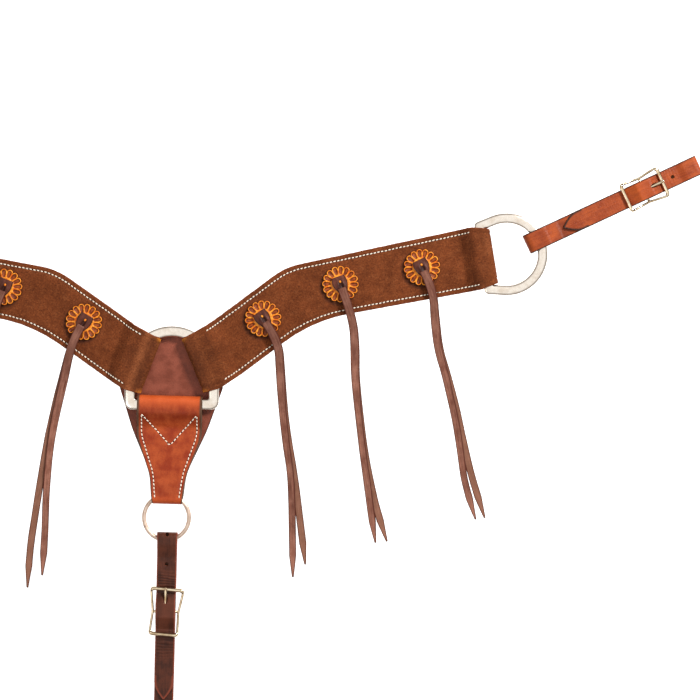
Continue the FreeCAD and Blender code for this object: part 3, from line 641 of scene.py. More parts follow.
# Routes from the knot to the pointed end: (x, y) of each bend, in millimetres.
TAILS = {"front": {
    "right_1": [(118, 30), (119.4, -4), (122, -46), (125.8, -83), (131.2, -116), (132.6, -151),
                (133.2, -188), (133.6, -232)],
    "right_2": [(200.2, 56), (202.4, 22), (202.2, -8), (205.8, -46), (210.3, -87), (216.8, -133),
                (220.2, -160), (225.3, -194)],
    "right_3": [(289.3, 85), (290.9, 53.5), (294.6, 20), (302.2, -5), (309.7, -38), (316.4, -70),
                (320.8, -103), (324.6, -130), (336.4, -168)],
    "left_1": [(-110.5, 29), (-120.8, -15), (-132.2, -65), (-137.4, -103), (-140.6, -149),
               (-141.6, -190), (-144.6, -230)],
    "left_2": [(-197.5, 62), (-207, 20), (-216, -30), (-221.4, -74), (-224.4, -118), (-225.4, -152),
               (-229, -190)],
    "left_3": [(-289, 78), (-297, 42), (-304.6, -2), (-309, -46), (-315.4, -88), (-318.4, -122),
               (-326, -162)],
}, "back": {
    "right_1": [(118, 30), (120.4, -4), (123.6, -46), (129, -84), (135, -117), (139.2, -150),
                (143.4, -184), (147.4, -218)],
    "right_2": [(200.2, 56), (203.2, 22), (203.2, -8), (207.4, -47), (212.3, -88), (220.8, -132),
                (227.9, -162), (238, -192.5)],
    "right_3": [(289.3, 85), (291.9, 53.5), (296, 20), (304.4, -6), (313.4, -38), (320.4, -70),
                (327.6, -103), (335, -131), (346.5, -166.5)],
    "left_1": [(-110.5, 29), (-122.8, -15), (-135.4, -65), (-143.8, -108), (-151.8, -160),
               (-158.8, -204), (-160.8, -243.5)],
    "left_2": [(-197.5, 62), (-208.6, 20), (-219.6, -30), (-227.4, -76), (-234.2, -122),
               (-240.6, -160), (-243, -202)],
    "left_3": [(-289, 78), (-298.6, 42), (-307.6, -2), (-314.4, -47), (-323, -90), (-329.4, -126),
               (-341, -168)],
}}
STRING_WIDTH = 10.0
STRING_THICK = 1.9
TIP_LENGTH = 24.0
TAIL_STEP = 2.0
TAIL_STARTS = {"front": 4.5, "back": 7.5}


def spline_points(route):
    """Points along the NURBS spline whose control points are the route."""
    curve = bpy.data.curves.new("route", "CURVE")
    curve.dimensions = "3D"
    spline = curve.splines.new("NURBS")
    spline.points.add(len(route) - 1)
    for point, (x, y) in zip(spline.points, route):
        point.co = (x * MM, y * MM, 0, 1)
    spline.order_u = 3
    spline.use_endpoint_u = True
    spline.resolution_u = 24
    holder = bpy.data.objects.new("route", curve)
    traced = bpy.data.meshes.new_from_object(holder)
    line = np.array([v.co[:2] for v in traced.vertices]) / MM
    bpy.data.objects.remove(holder)
    bpy.data.curves.remove(curve)
    bpy.data.meshes.remove(traced)
    return evenly(line, TAIL_STEP)


def inside(points, outline):
    """Which flat points lie inside a closed outline."""
    x, y = points[:, 0, None], points[:, 1, None]
    x1, y1 = outline[:, 0], outline[:, 1]
    x2, y2 = np.roll(x1, -1), np.roll(y1, -1)
    with np.errstate(divide="ignore", invalid="ignore"):
        crossing = ((y1 > y) != (y2 > y)) & (x < (x2 - x1) * (y - y1) / (y2 - y1) + x1)
    return crossing.sum(axis=1) % 2 == 1


def resting_height(points, spot, outline, under=None):
    """Height of what lies under each place: nothing, wing, rosette or the other tail."""
    height = np.where(inside(points, outline), WING_TOP, 0.0)
    height = np.where(np.linalg.norm(points - spot, axis=1) < ROSETTE_REACH, ROSETTE_TOP, height)
    if under is not None:
        line, tops = under
        gaps = np.linalg.norm(points[:, None] - line[None], axis=2)
        nearest = gaps.argmin(axis=1)
        over = gaps.min(axis=1) < STRING_WIDTH / 2 + 0.4
        height = np.where(over, np.maximum(height, tops[nearest]), height)
        height = np.where(np.linalg.norm(points - spot, axis=1) < KNOT_REACH, KNOT_TOP, height)
    return height


def laid(heights, limp):
    """Heights a leather string takes over supports of these heights."""
    widened = np.array([heights[max(0, i - 3):i + 4].max() for i in range(len(heights))])
    return smooth(widened, limp)


def tail(side, number, layer, under=None):
    """One string: a strip that hangs over the rosette and the wing to the level below."""
    key = "%s_%d" % (side, number)
    spot = np.array(ROSETTES[side][number - 1])
    route = TAILS[layer][key]
    way = np.array(route[0]) - spot
    way /= np.linalg.norm(way)
    start = spot + way * TAIL_STARTS[layer]
    line = spline_points([tuple(start)] + route)
    count = len(line)
    along = directions(line)
    left = columns(-along[:, 1], along[:, 0])
    outline = sided(side, wing_edge)
    seed = hash_of(key + layer)
    sides = []
    for hand in (1, -1):
        at = line + left * hand * STRING_WIDTH * 0.42
        heights = laid(resting_height(at, spot, outline, under), 3)
        lift = waves([(i * TAIL_STEP, hand * 3.0, 0) for i in range(count)], 46, seed)
        sides.append(heights + np.clip(lift, 0, 1) * 1.3)
    middle = (sides[0] + sides[1]) / 2 + STRING_THICK / 2 + 0.12
    tilt = (sides[0] - sides[1]) / (STRING_WIDTH * 0.84)
    across = unit(lifted(left, tilt))
    centre = lifted(line, middle)
    normal = unit(np.cross(directions(centre), across))
    run = np.linspace(0, 1, count)
    from_tip = (1 - run) * (count - 1) * TAIL_STEP
    width = STRING_WIDTH * (0.96 - 0.16 * step_up(run, 0.15, 0.6))
    width = width * (1 + 0.05 * waves([(i * TAIL_STEP, 0, 9) for i in range(count)], 30, seed))
    width = width * np.where(from_tip < TIP_LENGTH, 0.25 + 0.75 * from_tip / TIP_LENGTH, 1.0)

    def cupped(u, y, inset):
        return -0.18 * bell(y, 0, 2.2) + 0.1 * rumpled(u, 4 * y, 14, seed)

    points, faces, uv, marks = band(centre, across, normal, -width / 2, width / 2, STRING_THICK,
                                    (0.5, 1.2, 2.0), 5, cupped)
    shade = waves([(u, 0, 3) for u in marks["along"]], 50, seed)
    marks["worn"] = 0.25 * np.clip(shade, 0, 1) + 0.3 * step_up(marks["along"] / 280, 0.8, 1.0)
    marks["dark"] = 0.2 * np.clip(-shade, 0, 1) + 0.42 * (1 - step_up(marks["along"], 10, 130))
    if layer == "back":
        marks["flesh"] = 0.55 + 0 * marks["flesh"]
    name = "%s_%s_tail_%d" % (side, layer, number)
    piece = mesh(name, points, faces, STRING, side + "_wing", "right", uv, marks,
                 ["%s_string_%s_%d" % (side, layer, number)])
    tops = np.maximum(sides[0], sides[1]) + STRING_THICK + 0.15
    return line, tops


for side in SIDES:
    for number in (1, 2, 3):
        below = tail(side, number, "back")
        tail(side, number, "front", below)

# ---- wings

LEATHER = 2.4
HALF = LEATHER / 2
HINGE = 50.2
FLAT = 3.65
LOOP_ROUND = 4.1
END_ROUND = 6.5
STITCH_INSET = 5.5
SEAM_REACH = 0.95
PITCH = 4.2
HINGE_BLEND = 9
WING_SEEDS = {"right": 11.0, "left": 47.0}
# How much of the nap by the inner fold is painted pale, partly as wear and partly as the highlight of the
# leather's bulge over the ring, and how many stations from the inner and outer fold the upper and lower
# seam start and end.
WEAR_AND_HIGHLIGHT_BY_FOLD = {"right": 0.2, "left": 0.85}
SEAM_STARTS = {"right": (26, 25), "left": (21, 20)}
SEAM_ENDS = (22, 20)
ROSETTE_SHADE = (19.5, 23.0)


def cuts(outline, base, degrees):
    """The outline's places below and above a base point, square to a heading."""
    rel = turned(outline - base, -degrees)
    ahead, off = rel[:, 0], rel[:, 1]
    next_ahead, next_off = np.roll(ahead, -1), np.roll(off, -1)
    crossed = ahead * next_ahead <= 0
    share = ahead[crossed] / (ahead[crossed] - next_ahead[crossed] + 1e-12)
    at = off[crossed] + (next_off[crossed] - off[crossed]) * share
    return at[at < 0].max(), at[at > 0].min()


def stations(local_frame, route, step=1.2):
    """Centre line of folded leather in a frame, from (distance, height, radius) corners."""
    path = rounded(route, step)
    way = directions(path)
    count = len(path)
    return {"base": local_frame.place(columns(path[:, 0], np.zeros(count))),
            "angle": np.full(count, local_frame.heading), "z": path[:, 1], "s": path[:, 0],
            "normal": columns(-way[:, 1], way[:, 0])}


def middle_stations(low_s, high_s, height, step=1.5):
    """Flat leather between the loop and the outer fold, its cross lines turning smoothly."""
    first = loop_frame.place([[low_s, 0.0]])[0]
    last = end_frame.place([[high_s, 0.0]])[0]
    spine = rounded([(*first, 0), (132, 76, 120), (*last, 0)], step)
    share = np.linspace(0, 1, len(spine))
    angle = np.interp(share, (0, 0.06, 0.24, 0.42, 0.68, 0.94, 1), (22.15, 22.15, 33, 33, 12, 9.1, 9.1))
    angle = np.interp(share, share, smooth(angle, 9))
    angle[0], angle[-1] = FOLD_ANGLE, END_ANGLE
    count = len(spine)
    return {"base": spine, "angle": angle, "z": np.full(count, height), "s": np.full(count, 100.0),
            "normal": np.tile([0.0, 1.0], (count, 1))}


def chained(*parts):
    """Several runs of stations as one, without the doubled place where they meet."""
    return {key: np.concatenate([part[key] if i == 0 else part[key][1:]
                                 for i, part in enumerate(parts)]) for key in parts[0]}


def strip_of(run, outline, ragged, seed):
    """Line, across, normal and edges of a run of stations, cut to an outline."""
    angle = np.radians(run["angle"])
    line = lifted(run["base"], run["z"])
    across = columns(-np.sin(angle), np.cos(angle), 0 * angle)
    normal = columns(run["normal"][:, 0] * np.cos(angle), run["normal"][:, 0] * np.sin(angle),
                       run["normal"][:, 1])
    reach = np.array([cuts(outline, base, degrees) for base, degrees in zip(run["base"], run["angle"])])
    low = reach[:, 0] + ragged * waves(line, 5, seed)
    high = reach[:, 1] + ragged * waves(line, 5, seed + 9)
    return line, across, normal, low, high


EDGE_ROWS = (0.75, 1.5, 2.6, 3.8, 4.7, 5.5, 6.3, 7.4, 9.5)
loop_run = stations(loop_frame, [(HINGE - 2.8, HALF, 0), (42, HALF, 8), (30, RING_Z - LOOP_ROUND, 8),
                                 (HALF, RING_Z - LOOP_ROUND, LOOP_ROUND),
                                 (HALF, RING_Z + LOOP_ROUND, LOOP_ROUND),
                                 (32, RING_Z + LOOP_ROUND, 6), (44, FLAT, 8), (HINGE + 4, FLAT, 0)])
flat_run = middle_stations(HINGE + 4, -38, FLAT)
outer_run = stations(end_frame, [(-38, FLAT, 0), (-34, FLAT, 9), (-20, END_Z + END_ROUND, 9),
                                 (-HALF, END_Z + END_ROUND, END_ROUND),
                                 (-HALF, END_Z - END_ROUND, END_ROUND), (-30, END_Z - END_ROUND, 0)])
front_run = chained(loop_run, flat_run, outer_run)
FOLD_AT = int(np.argmin(front_run["s"][:len(loop_run["s"])]))
OUTER_FOLD = len(loop_run["s"]) + len(flat_run["s"]) - 2 + int(np.argmax(outer_run["s"]))


def row_of_thread(line, across, normal, offset, height, first, last):
    """Places and normals along a seam."""
    places = line + across * offset[:, None] + normal * height
    return places[first:last], normal[first:last]


def ball_template(rows=6, around=10):
    """Unit ball as points and faces, its poles on X."""
    points = [(-1.0, 0.0, 0.0)]
    for i in range(1, rows):
        angle = math.pi * i / rows
        for j in range(around):
            turn = 2 * math.pi * j / around
            points.append((-math.cos(angle), math.sin(angle) * math.cos(turn),
                           math.sin(angle) * math.sin(turn)))
    points.append((1.0, 0.0, 0.0))
    faces = [(0, 1 + (j + 1) % around, 1 + j) for j in range(around)]
    for i in range(rows - 2):
        for j in range(around):
            a, b = 1 + i * around + j, 1 + i * around + (j + 1) % around
            faces.append((a, b, b + around, a + around))
    last = len(points) - 1
    faces += [(last, last - around + j, last - around + (j + 1) % around) for j in range(around)]
    return np.array(points), faces


BALL = ball_template()


def grains(places, ways, ups, sizes):
    """Balls stretched to sizes (along, across, up) at places."""
    parts = []
    for place, way, up, extent in zip(places, ways, ups, sizes):
        aside = np.cross(up, way)
        axes = np.stack([way * extent[0], aside * extent[1], up * extent[2]])
        parts.append((BALL[0] @ axes + place, BALL[1]))
    return joined(parts)


def sew(name, rows, side, body, replaces, across_body=None, pitch=PITCH):
    """Stitches and their holes along seams; each row is (places, normals)."""
    threads, holes = [], []
    seed = hash_of(name)
    for places, normals in rows:
        seam = evenly(np.concatenate([places, normals], axis=1), pitch)
        spots, ups = seam[:, :3], seam[:, 3:]
        ways = directions(spots)
        ups = unit(ups - ways * (ups * ways).sum(axis=1)[:, None])
        asides = np.cross(ups, ways)
        jitter = waves(spots, 2.7, seed)[:, None]
        ways_turned = unit(ways + asides * (0.12 + 0.1 * jitter))
        length = pitch * 0.36 * (1 + 0.1 * jitter[:, 0])
        extent = columns(length, np.full(len(spots), 0.7), np.full(len(spots), 0.5))
        threads.append(grains(spots + ups * 0.1, ways_turned, ups, extent))
        # Dark beads between the stitches, a little sunk: painted shade where the thread goes down into
        # its holes.
        between = (spots[1:] + spots[:-1]) / 2
        dark = np.tile([0.85, 0.8, 0.3], (len(between), 1))
        holes.append(grains(between - ups[1:] * 0.08, ways[1:], ups[1:], dark))
    for label, parts, material in (("", threads, THREAD), ("_holes", holes, HOLE)):
        points, faces = joined(parts)
        piece = mesh(name + label, points, faces, material, None if across_body else body,
                     side, replaces=replaces)
        if across_body:
            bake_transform(piece)


def wing(side):
    """Front leather with both its folds, the lining, and the two seams."""
    seed = WING_SEEDS[side]
    body = side + "_wing"
    line, across, normal, low, high = strip_of(front_run, wing_edge, 0.28, seed)

    def suede_face(u, y, inset):
        soft = 0.28 * rumpled(u, y, 38, seed) + 0.12 * rumpled(u, y, 11, seed + 5)
        pull = 0.5 + 0.5 * np.cos(2 * math.pi * u / PITCH)
        return soft - (0.38 + 0.12 * pull) * bell(inset, STITCH_INSET, SEAM_REACH)

    points, faces, uv, marks = band(line, across, normal, low, high, LEATHER, EDGE_ROWS, 30, suede_face)
    around = len(points) // len(line)
    station = np.repeat(np.arange(len(line)), around)
    u, y = marks["along"], marks["over"]
    step = travelled(line)
    from_fold = u - step[FOLD_AT]
    from_outer = u - step[OUTER_FOLD]
    share = (y - low[station]) / (high - low)[station]
    corner = np.maximum(bell(share, 0, 0.035), bell(share, 1, 0.035))
    patchy = 0.5 + 0.5 * rumpled(u, y, 13, seed + 2)
    gold = 0.15 * bell(from_fold, 0.5, 1.5) * patchy + 1.3 * bell(from_fold, 0, 3.0) * corner
    marks["gold"] = np.clip(gold, 0, 1)
    # Pale band by the inner fold, partly wear and partly a painted highlight where the leather bulges
    # over the ring; a patch of wear by the outer fold.
    worn = WEAR_AND_HIGHLIGHT_BY_FOLD[side] * bell(from_fold, 15.5, 3.2) * (0.4 + 0.6 * patchy)
    worn += 0.75 * bell(from_outer, -9, 2.5) * bell(share, 0.74, 0.12) * patchy
    marks["worn"] = np.clip(worn, 0, 1)
    # Painted shade: dark bands on either side of the inner fold's highlight, on the rise to the outer
    # fold and along that fold.
    dark = 0.45 * bell(from_fold, 8, 5) * (1 - corner) + 0.45 * bell(from_fold, 25, 5) * patchy
    dark += 0.4 * bell(from_outer, -20, 9) * patchy + 0.3 * bell(from_outer, 0, 1.5)
    # Painted shadow of each rosette, cast to the lower left on the wing's face.
    flat_spots = sided(side, points)[:, :2]
    for spot in ROSETTES[side]:
        gap = np.linalg.norm(flat_spots - np.array(spot) + [2.0, 2.4], axis=1)
        dark += 0.95 * (1 - step_up(gap, *ROSETTE_SHADE)) * (marks["flesh"] < 0.5)
    marks["dark"] = np.clip(dark, 0, 1)
    leather = mesh(side + "_wing_leather", points, faces, ROUGHOUT, None, side, uv,
                   marks, [side + "_wing_front", side + "_wing_loop"])
    start, end = (sided(side, [*loop_frame.place([[HINGE + d, 0]])[0], LEATHER]) * MM
                  for d in (-HINGE_BLEND, HINGE_BLEND))
    fold = ("center_ring", body, tuple(start), tuple(end))
    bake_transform(leather)

    under = chained(stations(loop_frame, [(HINGE - 2.4, HALF, 0), (HINGE + 4, HALF, 0)]),
                    middle_stations(HINGE + 4, -38, HALF),
                    stations(end_frame, [(-38, HALF, 0), (-30.6, HALF, 0)]))
    under["normal"] = -under["normal"]
    b_line, b_across, b_normal, b_low, b_high = strip_of(under, wing_edge, 0.22, seed + 3)

    def back_face(u, y, inset):
        return -0.45 * bell(inset, STITCH_INSET, SEAM_REACH)

    points, faces, uv, marks = band(b_line, b_across, b_normal, b_low, b_high, LEATHER - 0.1,
                                    EDGE_ROWS, 16, back_face)
    lining = mesh(side + "_wing_backing", points, faces, LINING, None, side, uv, marks,
                  [side + "_wing_lining"])
    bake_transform(lining)

    rows = [row_of_thread(line, across, normal, offset, HALF - 0.25, FOLD_AT + start, OUTER_FOLD - end)
            for offset, start, end in zip((high - STITCH_INSET, low + STITCH_INSET),
                                          SEAM_STARTS[side], SEAM_ENDS)]
    rows += [row_of_thread(b_line, b_across, b_normal, offset, HALF - 0.4, 4, -4)
             for offset in (b_high - STITCH_INSET, b_low + STITCH_INSET)]
    sew(side + "_wing_stitches", rows, side, body, [side + "_wing_stitching"], fold)


for side in SIDES:
    wing(side)

# ---- shield and tab


def slab(outline, low, high, edge, insets=(1.4, 2.6, 4.5)):
    """Flat leather with rounded edges: points, faces, uv and marks."""
    line = rounded(outline, 1.2, closed=True)
    area = (line[:, 0] * np.roll(line[:, 1], -1) - line[:, 1] * np.roll(line[:, 0], -1)).sum()
    way = round_directions(line)
    inward = columns(-way[:, 1], way[:, 0]) * math.copysign(1, area)
    middle, half = (low + high) / 2, (high - low) / 2
    rings = [(inset, -1.0, inset) for inset in reversed(insets)] + [(edge, -1.0, edge)]
    rings += [(edge * share, height, 0.0) for share, height in reversed(list(edge_turns()))]
    rings += [(edge, 1.0, edge)] + [(inset, 1.0, inset) for inset in insets]
    points, uv, depth, level = [], [], [], []
    for inset, height, mark in rings:
        place = line + inward * inset
        points.append(lifted(place, middle + height * half))
        uv.append(place + height * half)
        depth.append(np.full(len(line), mark))
        level.append(np.full(len(line), float(height < -0.99)))
    marks = {"edge": np.concatenate(depth), "flesh": np.concatenate(level)}
    return np.concatenate(points), tube_faces(len(rings), len(line), False), np.concatenate(uv), marks


SHIELD_OUTLINE = [(16, 78, 10), (-16, 78, 10), (-58.5, 22, 8), (-41.5, -28.6, 120), (-21.4, -74, 20),
                  (-19.8, -80, 0.5), (19.8, -80, 0.5), (21.4, -74, 20), (41.5, -28.6, 120),
                  (58.5, 22, 8)]
points, faces, uv, marks = slab(SHIELD_OUTLINE, 0.0, 2.8, 0.8)
mesh("shield", tab_frame.place(points), faces, SHIELD_LEATHER, "center", uv=uv,
     marks=marks, replaces=["center_shield"])

TAB_OUTLINE = [(36, 12, 2), (36, -36, 45), (20.5, -78, 60), (17.6, -102, 20), (16.2, -111.2, 2.5),
               (-16.2, -111.2, 2.5), (-17.6, -102, 20), (-20.5, -78, 60), (-36, -36, 45),
               (-36, 12, 2)]
BAR_ROUND = 6.0
SMALL_ROUND = 5.1
FOLD_TOP = 9.9
FOLD_FOOT = 110.4
LOW_Z = level_of("small_ring")
FLAP_Z = 4.0
TAB_Z = 6.55
down_frame = Frame(tab_frame.spot, tab_frame.heading - 90)
tab_run = stations(down_frame, [
    (47, FLAP_Z, 0), (22, FLAP_Z, 12), (9, RING_Z - BAR_ROUND, 10),
    (HALF - FOLD_TOP, RING_Z - BAR_ROUND, BAR_ROUND), (HALF - FOLD_TOP, RING_Z + BAR_ROUND, BAR_ROUND),
    (9, RING_Z + BAR_ROUND, 10), (26, TAB_Z, 12), (84, TAB_Z, 12), (96, LOW_Z + SMALL_ROUND, 8),
    (FOLD_FOOT - HALF, LOW_Z + SMALL_ROUND, SMALL_ROUND),
    (FOLD_FOOT - HALF, LOW_Z - SMALL_ROUND, SMALL_ROUND), (97, HALF, 10), (85, FLAP_Z, 10),
    (54, FLAP_Z, 0)])
tab_edge = tab_frame.place(rounded(TAB_OUTLINE, 0.8, closed=True))
TAB_FOLD = int(np.argmin(tab_run["s"]))
TAB_FOOT = int(np.argmax(tab_run["s"]))


def seam_on(run, frame, first, last, seam, height):
    """A seam given as (distance, offset) on folded leather: its places and normals."""
    at = np.interp(seam[:, 0], run["s"][first:last], np.arange(first, last))
    steps = np.arange(len(run["s"]))
    z = np.interp(at, steps, run["z"])
    ahead = np.interp(at, steps, run["normal"][:, 0])
    up = np.interp(at, steps, run["normal"][:, 1])
    flat = columns(seam[:, 0] + ahead * height, seam[:, 1], z + up * height)
    normals = columns(ahead, 0 * ahead, up)
    return frame.place(flat), frame.turn(normals)


V_SEAM = [(12.0, -29.6, 0), (45.4, 1.2, 1.5), (12.5, 28.8, 0)]
SIDE_SEAM = [(13.5, 30.6, 0), (34, 30.8, 40), (76, 16.6, 60), (101.5, 13.6, 0)]


def tab():
    seed = 5.0
    line, across, normal, low, high = strip_of(tab_run, tab_edge, 0.0, seed)
    seams = [rounded(V_SEAM, 0.6)] + [rounded([(d, hand * off, r) for d, off, r in SIDE_SEAM], 0.6)
                                      for hand in (1, -1)]
    rows = [seam_on(tab_run, down_frame, TAB_FOLD, TAB_FOOT, seam, HALF - 0.22) for seam in seams]
    flat = np.concatenate(seams)
    distance = tab_run["s"]
    number = np.arange(len(line))
    on_top = (number > TAB_FOLD) & (number < TAB_FOOT)

    def grooves(u, y, inset):
        d = np.repeat(distance[:, None], u.shape[1], axis=1)
        gap = np.full(u.shape, 9.0)
        for start in range(0, len(flat), 200):
            part = flat[start:start + 200]
            gaps = np.hypot(d[:, :, None] - part[:, 0], y[:, :, None] - part[:, 1])
            gap = np.minimum(gap, gaps.min(axis=2))
        return 0.18 * rumpled(u, y, 30, seed) - 0.34 * bell(gap, 0, 0.85) * on_top[:, None]

    points, faces, uv, marks = band(line, across, normal, low, high, LEATHER,
                                    (0.8, 1.4, 2.2, 3.2, 4.3, 5.4, 6.5, 8.0), 36, grooves)
    around = len(points) // len(line)
    d = np.repeat(distance, around)
    front = np.repeat(on_top | (number == TAB_FOLD), around)
    # Painted highlight on the top fold round the ring's bar and on the foot fold; the back a little
    # paler.
    marks["worn"] = np.where(front, 0.66 * bell(d, -5, 4.5) + 0.35 * bell(d, 107, 4), 0.3)
    # Painted shade where the tab drops away below the bar and before the foot fold.
    marks["dark"] = np.where(front, 0.5 * bell(d, 12, 5.5) + 0.3 * bell(d, 92, 6), 0)
    marks["edge"] = marks["edge"] * (0.6 + 0.7 * step_up(d, 25, 60))
    mesh("tab_leather", points, faces, TAB_LEATHER, "center", uv=uv, marks=marks,
         replaces=["center_tab"])
    sew("tab_stitches", rows, "right", "center", ["tab_stitching"], pitch=4.5)


tab()

# ---- buckled straps

STRAP = 2.5
STRAP_HALF = 1.25
BAR_Z = 7.1
END_BAR_Z = 9.9
CHAPE_Z = 4.05
BILLET_Z = 6.75
TIP = 98.0
POINT = 19.0
CREASE_PITCH = 3.3


def strap_path(length, buckle, near, far):
    """Side view of one strap, from the end under the buckle to the billet's tip."""
    near_round, far_round = near[0] + STRAP_HALF, far[0] + STRAP_HALF
    near_top, far_top = STRAP_HALF + 2 * near_round, STRAP_HALF + 2 * far_round
    eye = 3.05
    over_bar = BAR_Z + eye
    hump = over_bar + STRAP + 0.4
    ramp = 1.6 * (far_top - CHAPE_Z)
    return rounded([
        (buckle + 9, CHAPE_Z, 0), (buckle - eye, CHAPE_Z, eye), (buckle - eye, over_bar, eye),
        (buckle + 5, over_bar, 3), (buckle + 16.5, CHAPE_Z, 4),
        (length - far[1] - ramp, CHAPE_Z, 10), (length - far[1], far_top, 6),
        (length - STRAP_HALF, far_top, far_round), (length - STRAP_HALF, STRAP_HALF, far_round),
        (STRAP_HALF, STRAP_HALF, near_round), (STRAP_HALF, near_top, near_round),
        (near[1], near_top, 12), (near[1] + 3 * (near_top - BILLET_Z) + 1, BILLET_Z, 12),
        (buckle - 19.5, BILLET_Z, 4), (buckle - 8.5, hump, 4), (buckle + 6.8, hump, 4),
        (buckle + 20, BILLET_Z, 4), (buckle + TIP, BILLET_Z, 0)], 0.7)


def pierced(piece, cutters):
    """Drills a piece with cutters; the holes' walls keep the cutters' painted shade."""
    for index, (points, faces) in enumerate(cutters):
        cutter = mesh(piece.name + "_cut_%d" % index, points, faces, HOLE, None)
        change = piece.modifiers.new("hole", "BOOLEAN")
        change.operation = "DIFFERENCE"
        change.solver = "EXACT"
        change.object = cutter
    bpy.context.view_layer.update()
    whole = piece.evaluated_get(bpy.context.evaluated_depsgraph_get())
    data = bpy.data.meshes.new_from_object(whole)
    data.materials.clear()
    data.materials.append(piece.data.materials[0])
    data.materials.append(HOLE)
    for change in list(piece.modifiers):
        bpy.data.objects.remove(change.object)
    piece.modifiers.clear()
    piece.data = data


def drill(x, y, low, high, radius, stretch=1.0):
    """Upright cutter for a hole."""
    turn = np.linspace(0, 2 * math.pi, 20, endpoint=False)
    ring = columns(x + radius * stretch * np.cos(turn), y + radius * np.sin(turn))
    return np.concatenate([lifted(ring, z) for z in (low, high)]), tube_faces(2, 20, False)


def buckled(name, side, body, frame, length, buckle, near, far, holes, leather, width, wrinkled):
    path = strap_path(length, buckle, near, far)
    count = len(path)
    way = directions(path)
    zeros = np.zeros(count)
    line = frame.place(columns(path[:, 0], zeros, path[:, 1]))
    across = frame.turn(upright(count))
    normal = frame.turn(columns(-way[:, 1], zeros, way[:, 0]))
    step = travelled(path)
    x = path[:, 0]
    on_billet = step > step[int(np.argmin(x))]
    from_end = step[-1] - step
    point = 1 - (np.clip(POINT - from_end, 0, None) / POINT) ** 1.7 * 0.93
    half = width / 2 * np.clip(point, 0.06, 1)
    seed = hash_of(name) * 0.31
    half = half + 0.12 * waves(line, 40, seed) + 0.6 * wrinkled * bell(x, 0, 5)

    def creases(along, y):
        drift = rumpled(along, 0.5 * y, 9, seed)
        zone = np.maximum(bell(along, buckle - 32, 6.5), 0.6 * bell(along, buckle + 38, 10))
        return wrinkled * zone * np.cos(2 * math.pi * (along + 2.2 * drift) / CREASE_PITCH)

    def creased(u, y, inset):
        along = np.repeat(x[:, None], u.shape[1], axis=1)
        top = np.repeat(on_billet[:, None], u.shape[1], axis=1)
        crease = 0.5 * creases(along, y) * (inset > 0.8)
        creased_line = 0.12 * bell(inset, 1.9, 0.4)
        return 0.14 * rumpled(u, y, 22, seed) + (crease - creased_line) * top

    points, faces, uv, marks = band(line, across, normal, -half, half, STRAP,
                                    (0.7, 1.2, 1.9, 2.6, 3.6), 16, creased)
    around = len(points) // count
    top = np.repeat(on_billet, around)
    along = np.repeat(x, around)
    over = marks["over"]
    # Painted sheen along the middle of the billet between the buckle's bars.
    sheen_between_bars = bell(along, buckle + 3, 11) * bell(over, 0, 5)
    # Paler at the near end and on the billet round the buckle, plus that painted sheen.
    marks["worn"] = 0.3 * bell(along, 0.5, 3) + top * (0.25 * bell(along, buckle, 8)
                                                       + 0.3 * wrinkled * sheen_between_bars)
    # Painted shadow of the billet's tip on the layer under it, heavier on its low side.
    low_side = 0.55 + 0.45 * np.clip(over / (width / 2), -1, 1)
    tip_shadow = 0.85 * bell(along, buckle + TIP + 2, 4.5) * low_side
    # Painted shadow beside a bar of the buckle and painted shade in the troughs of the creases.
    bar_and_crease_shade = 0.45 * bell(along, buckle - 17, 3) + np.clip(-creases(along, over), 0, 1)
    marks["dark"] = np.clip(np.where(top, bar_and_crease_shade, tip_shadow), 0, 1)
    at_tip = top & (along > buckle + TIP - 26)
    marks["edge"] = np.where(at_tip, 0.5 * marks["edge"], marks["edge"])
    strap = mesh(name, points, faces, leather, body, side, uv, marks,
                 [name.replace("_leather", "_strap")])
    cutters = [drill(buckle - hole, 0, BILLET_Z - 1.6, 22, 2.0) for hole in holes]
    cutters.append(drill(buckle - 12.6, 0, BILLET_Z + 0.4, 22, 2.4, 2.1))
    placed = [(sided(side, frame.place(p)), f) for p, f in cutters]
    pierced(strap, placed)


def metal_piece(name, frame, shape, metal, body, node, side="right"):
    """A metal part from (points, faces) in a frame."""
    points, faces = shape
    mesh(name, frame.place(points), faces, metal, body, side, replaces=[node])


def buckle_wire(name, side, body, frame, buckle, reach, first, last, skew):
    """Bent wire frame, thicker at its end bars, with its centre bar."""
    corners = [(-reach, -first, 3.4), (-reach, first, 3.4), (0, 14.2, 14), (reach, last, 3.4),
               (reach, -last, 3.4), (0, -14.2, 14)]
    loop = rounded(corners, 0.8, closed=True)
    lift = step_up(np.abs(loop[:, 0]) / reach, 0.1, 0.95)
    z = BAR_Z + (END_BAR_Z - BAR_Z) * lift
    at_bar = step_up(np.abs(loop[:, 0]), reach - 3.5, reach - 0.6)
    loop = turned(loop, skew)
    path = columns(loop[:, 0] + buckle, loop[:, 1], z + 0.5 * at_bar)
    bar = [(buckle, y, BAR_Z) for y in np.linspace(-13.0, 13.0, 14)]
    shape = joined([wire(path, 1.35 + 0.85 * at_bar, closed=True), wire(bar, 1.5)])
    metal_piece(name, frame, shape, BUCKLE_METAL, body, name.replace("_wire", ""), side)


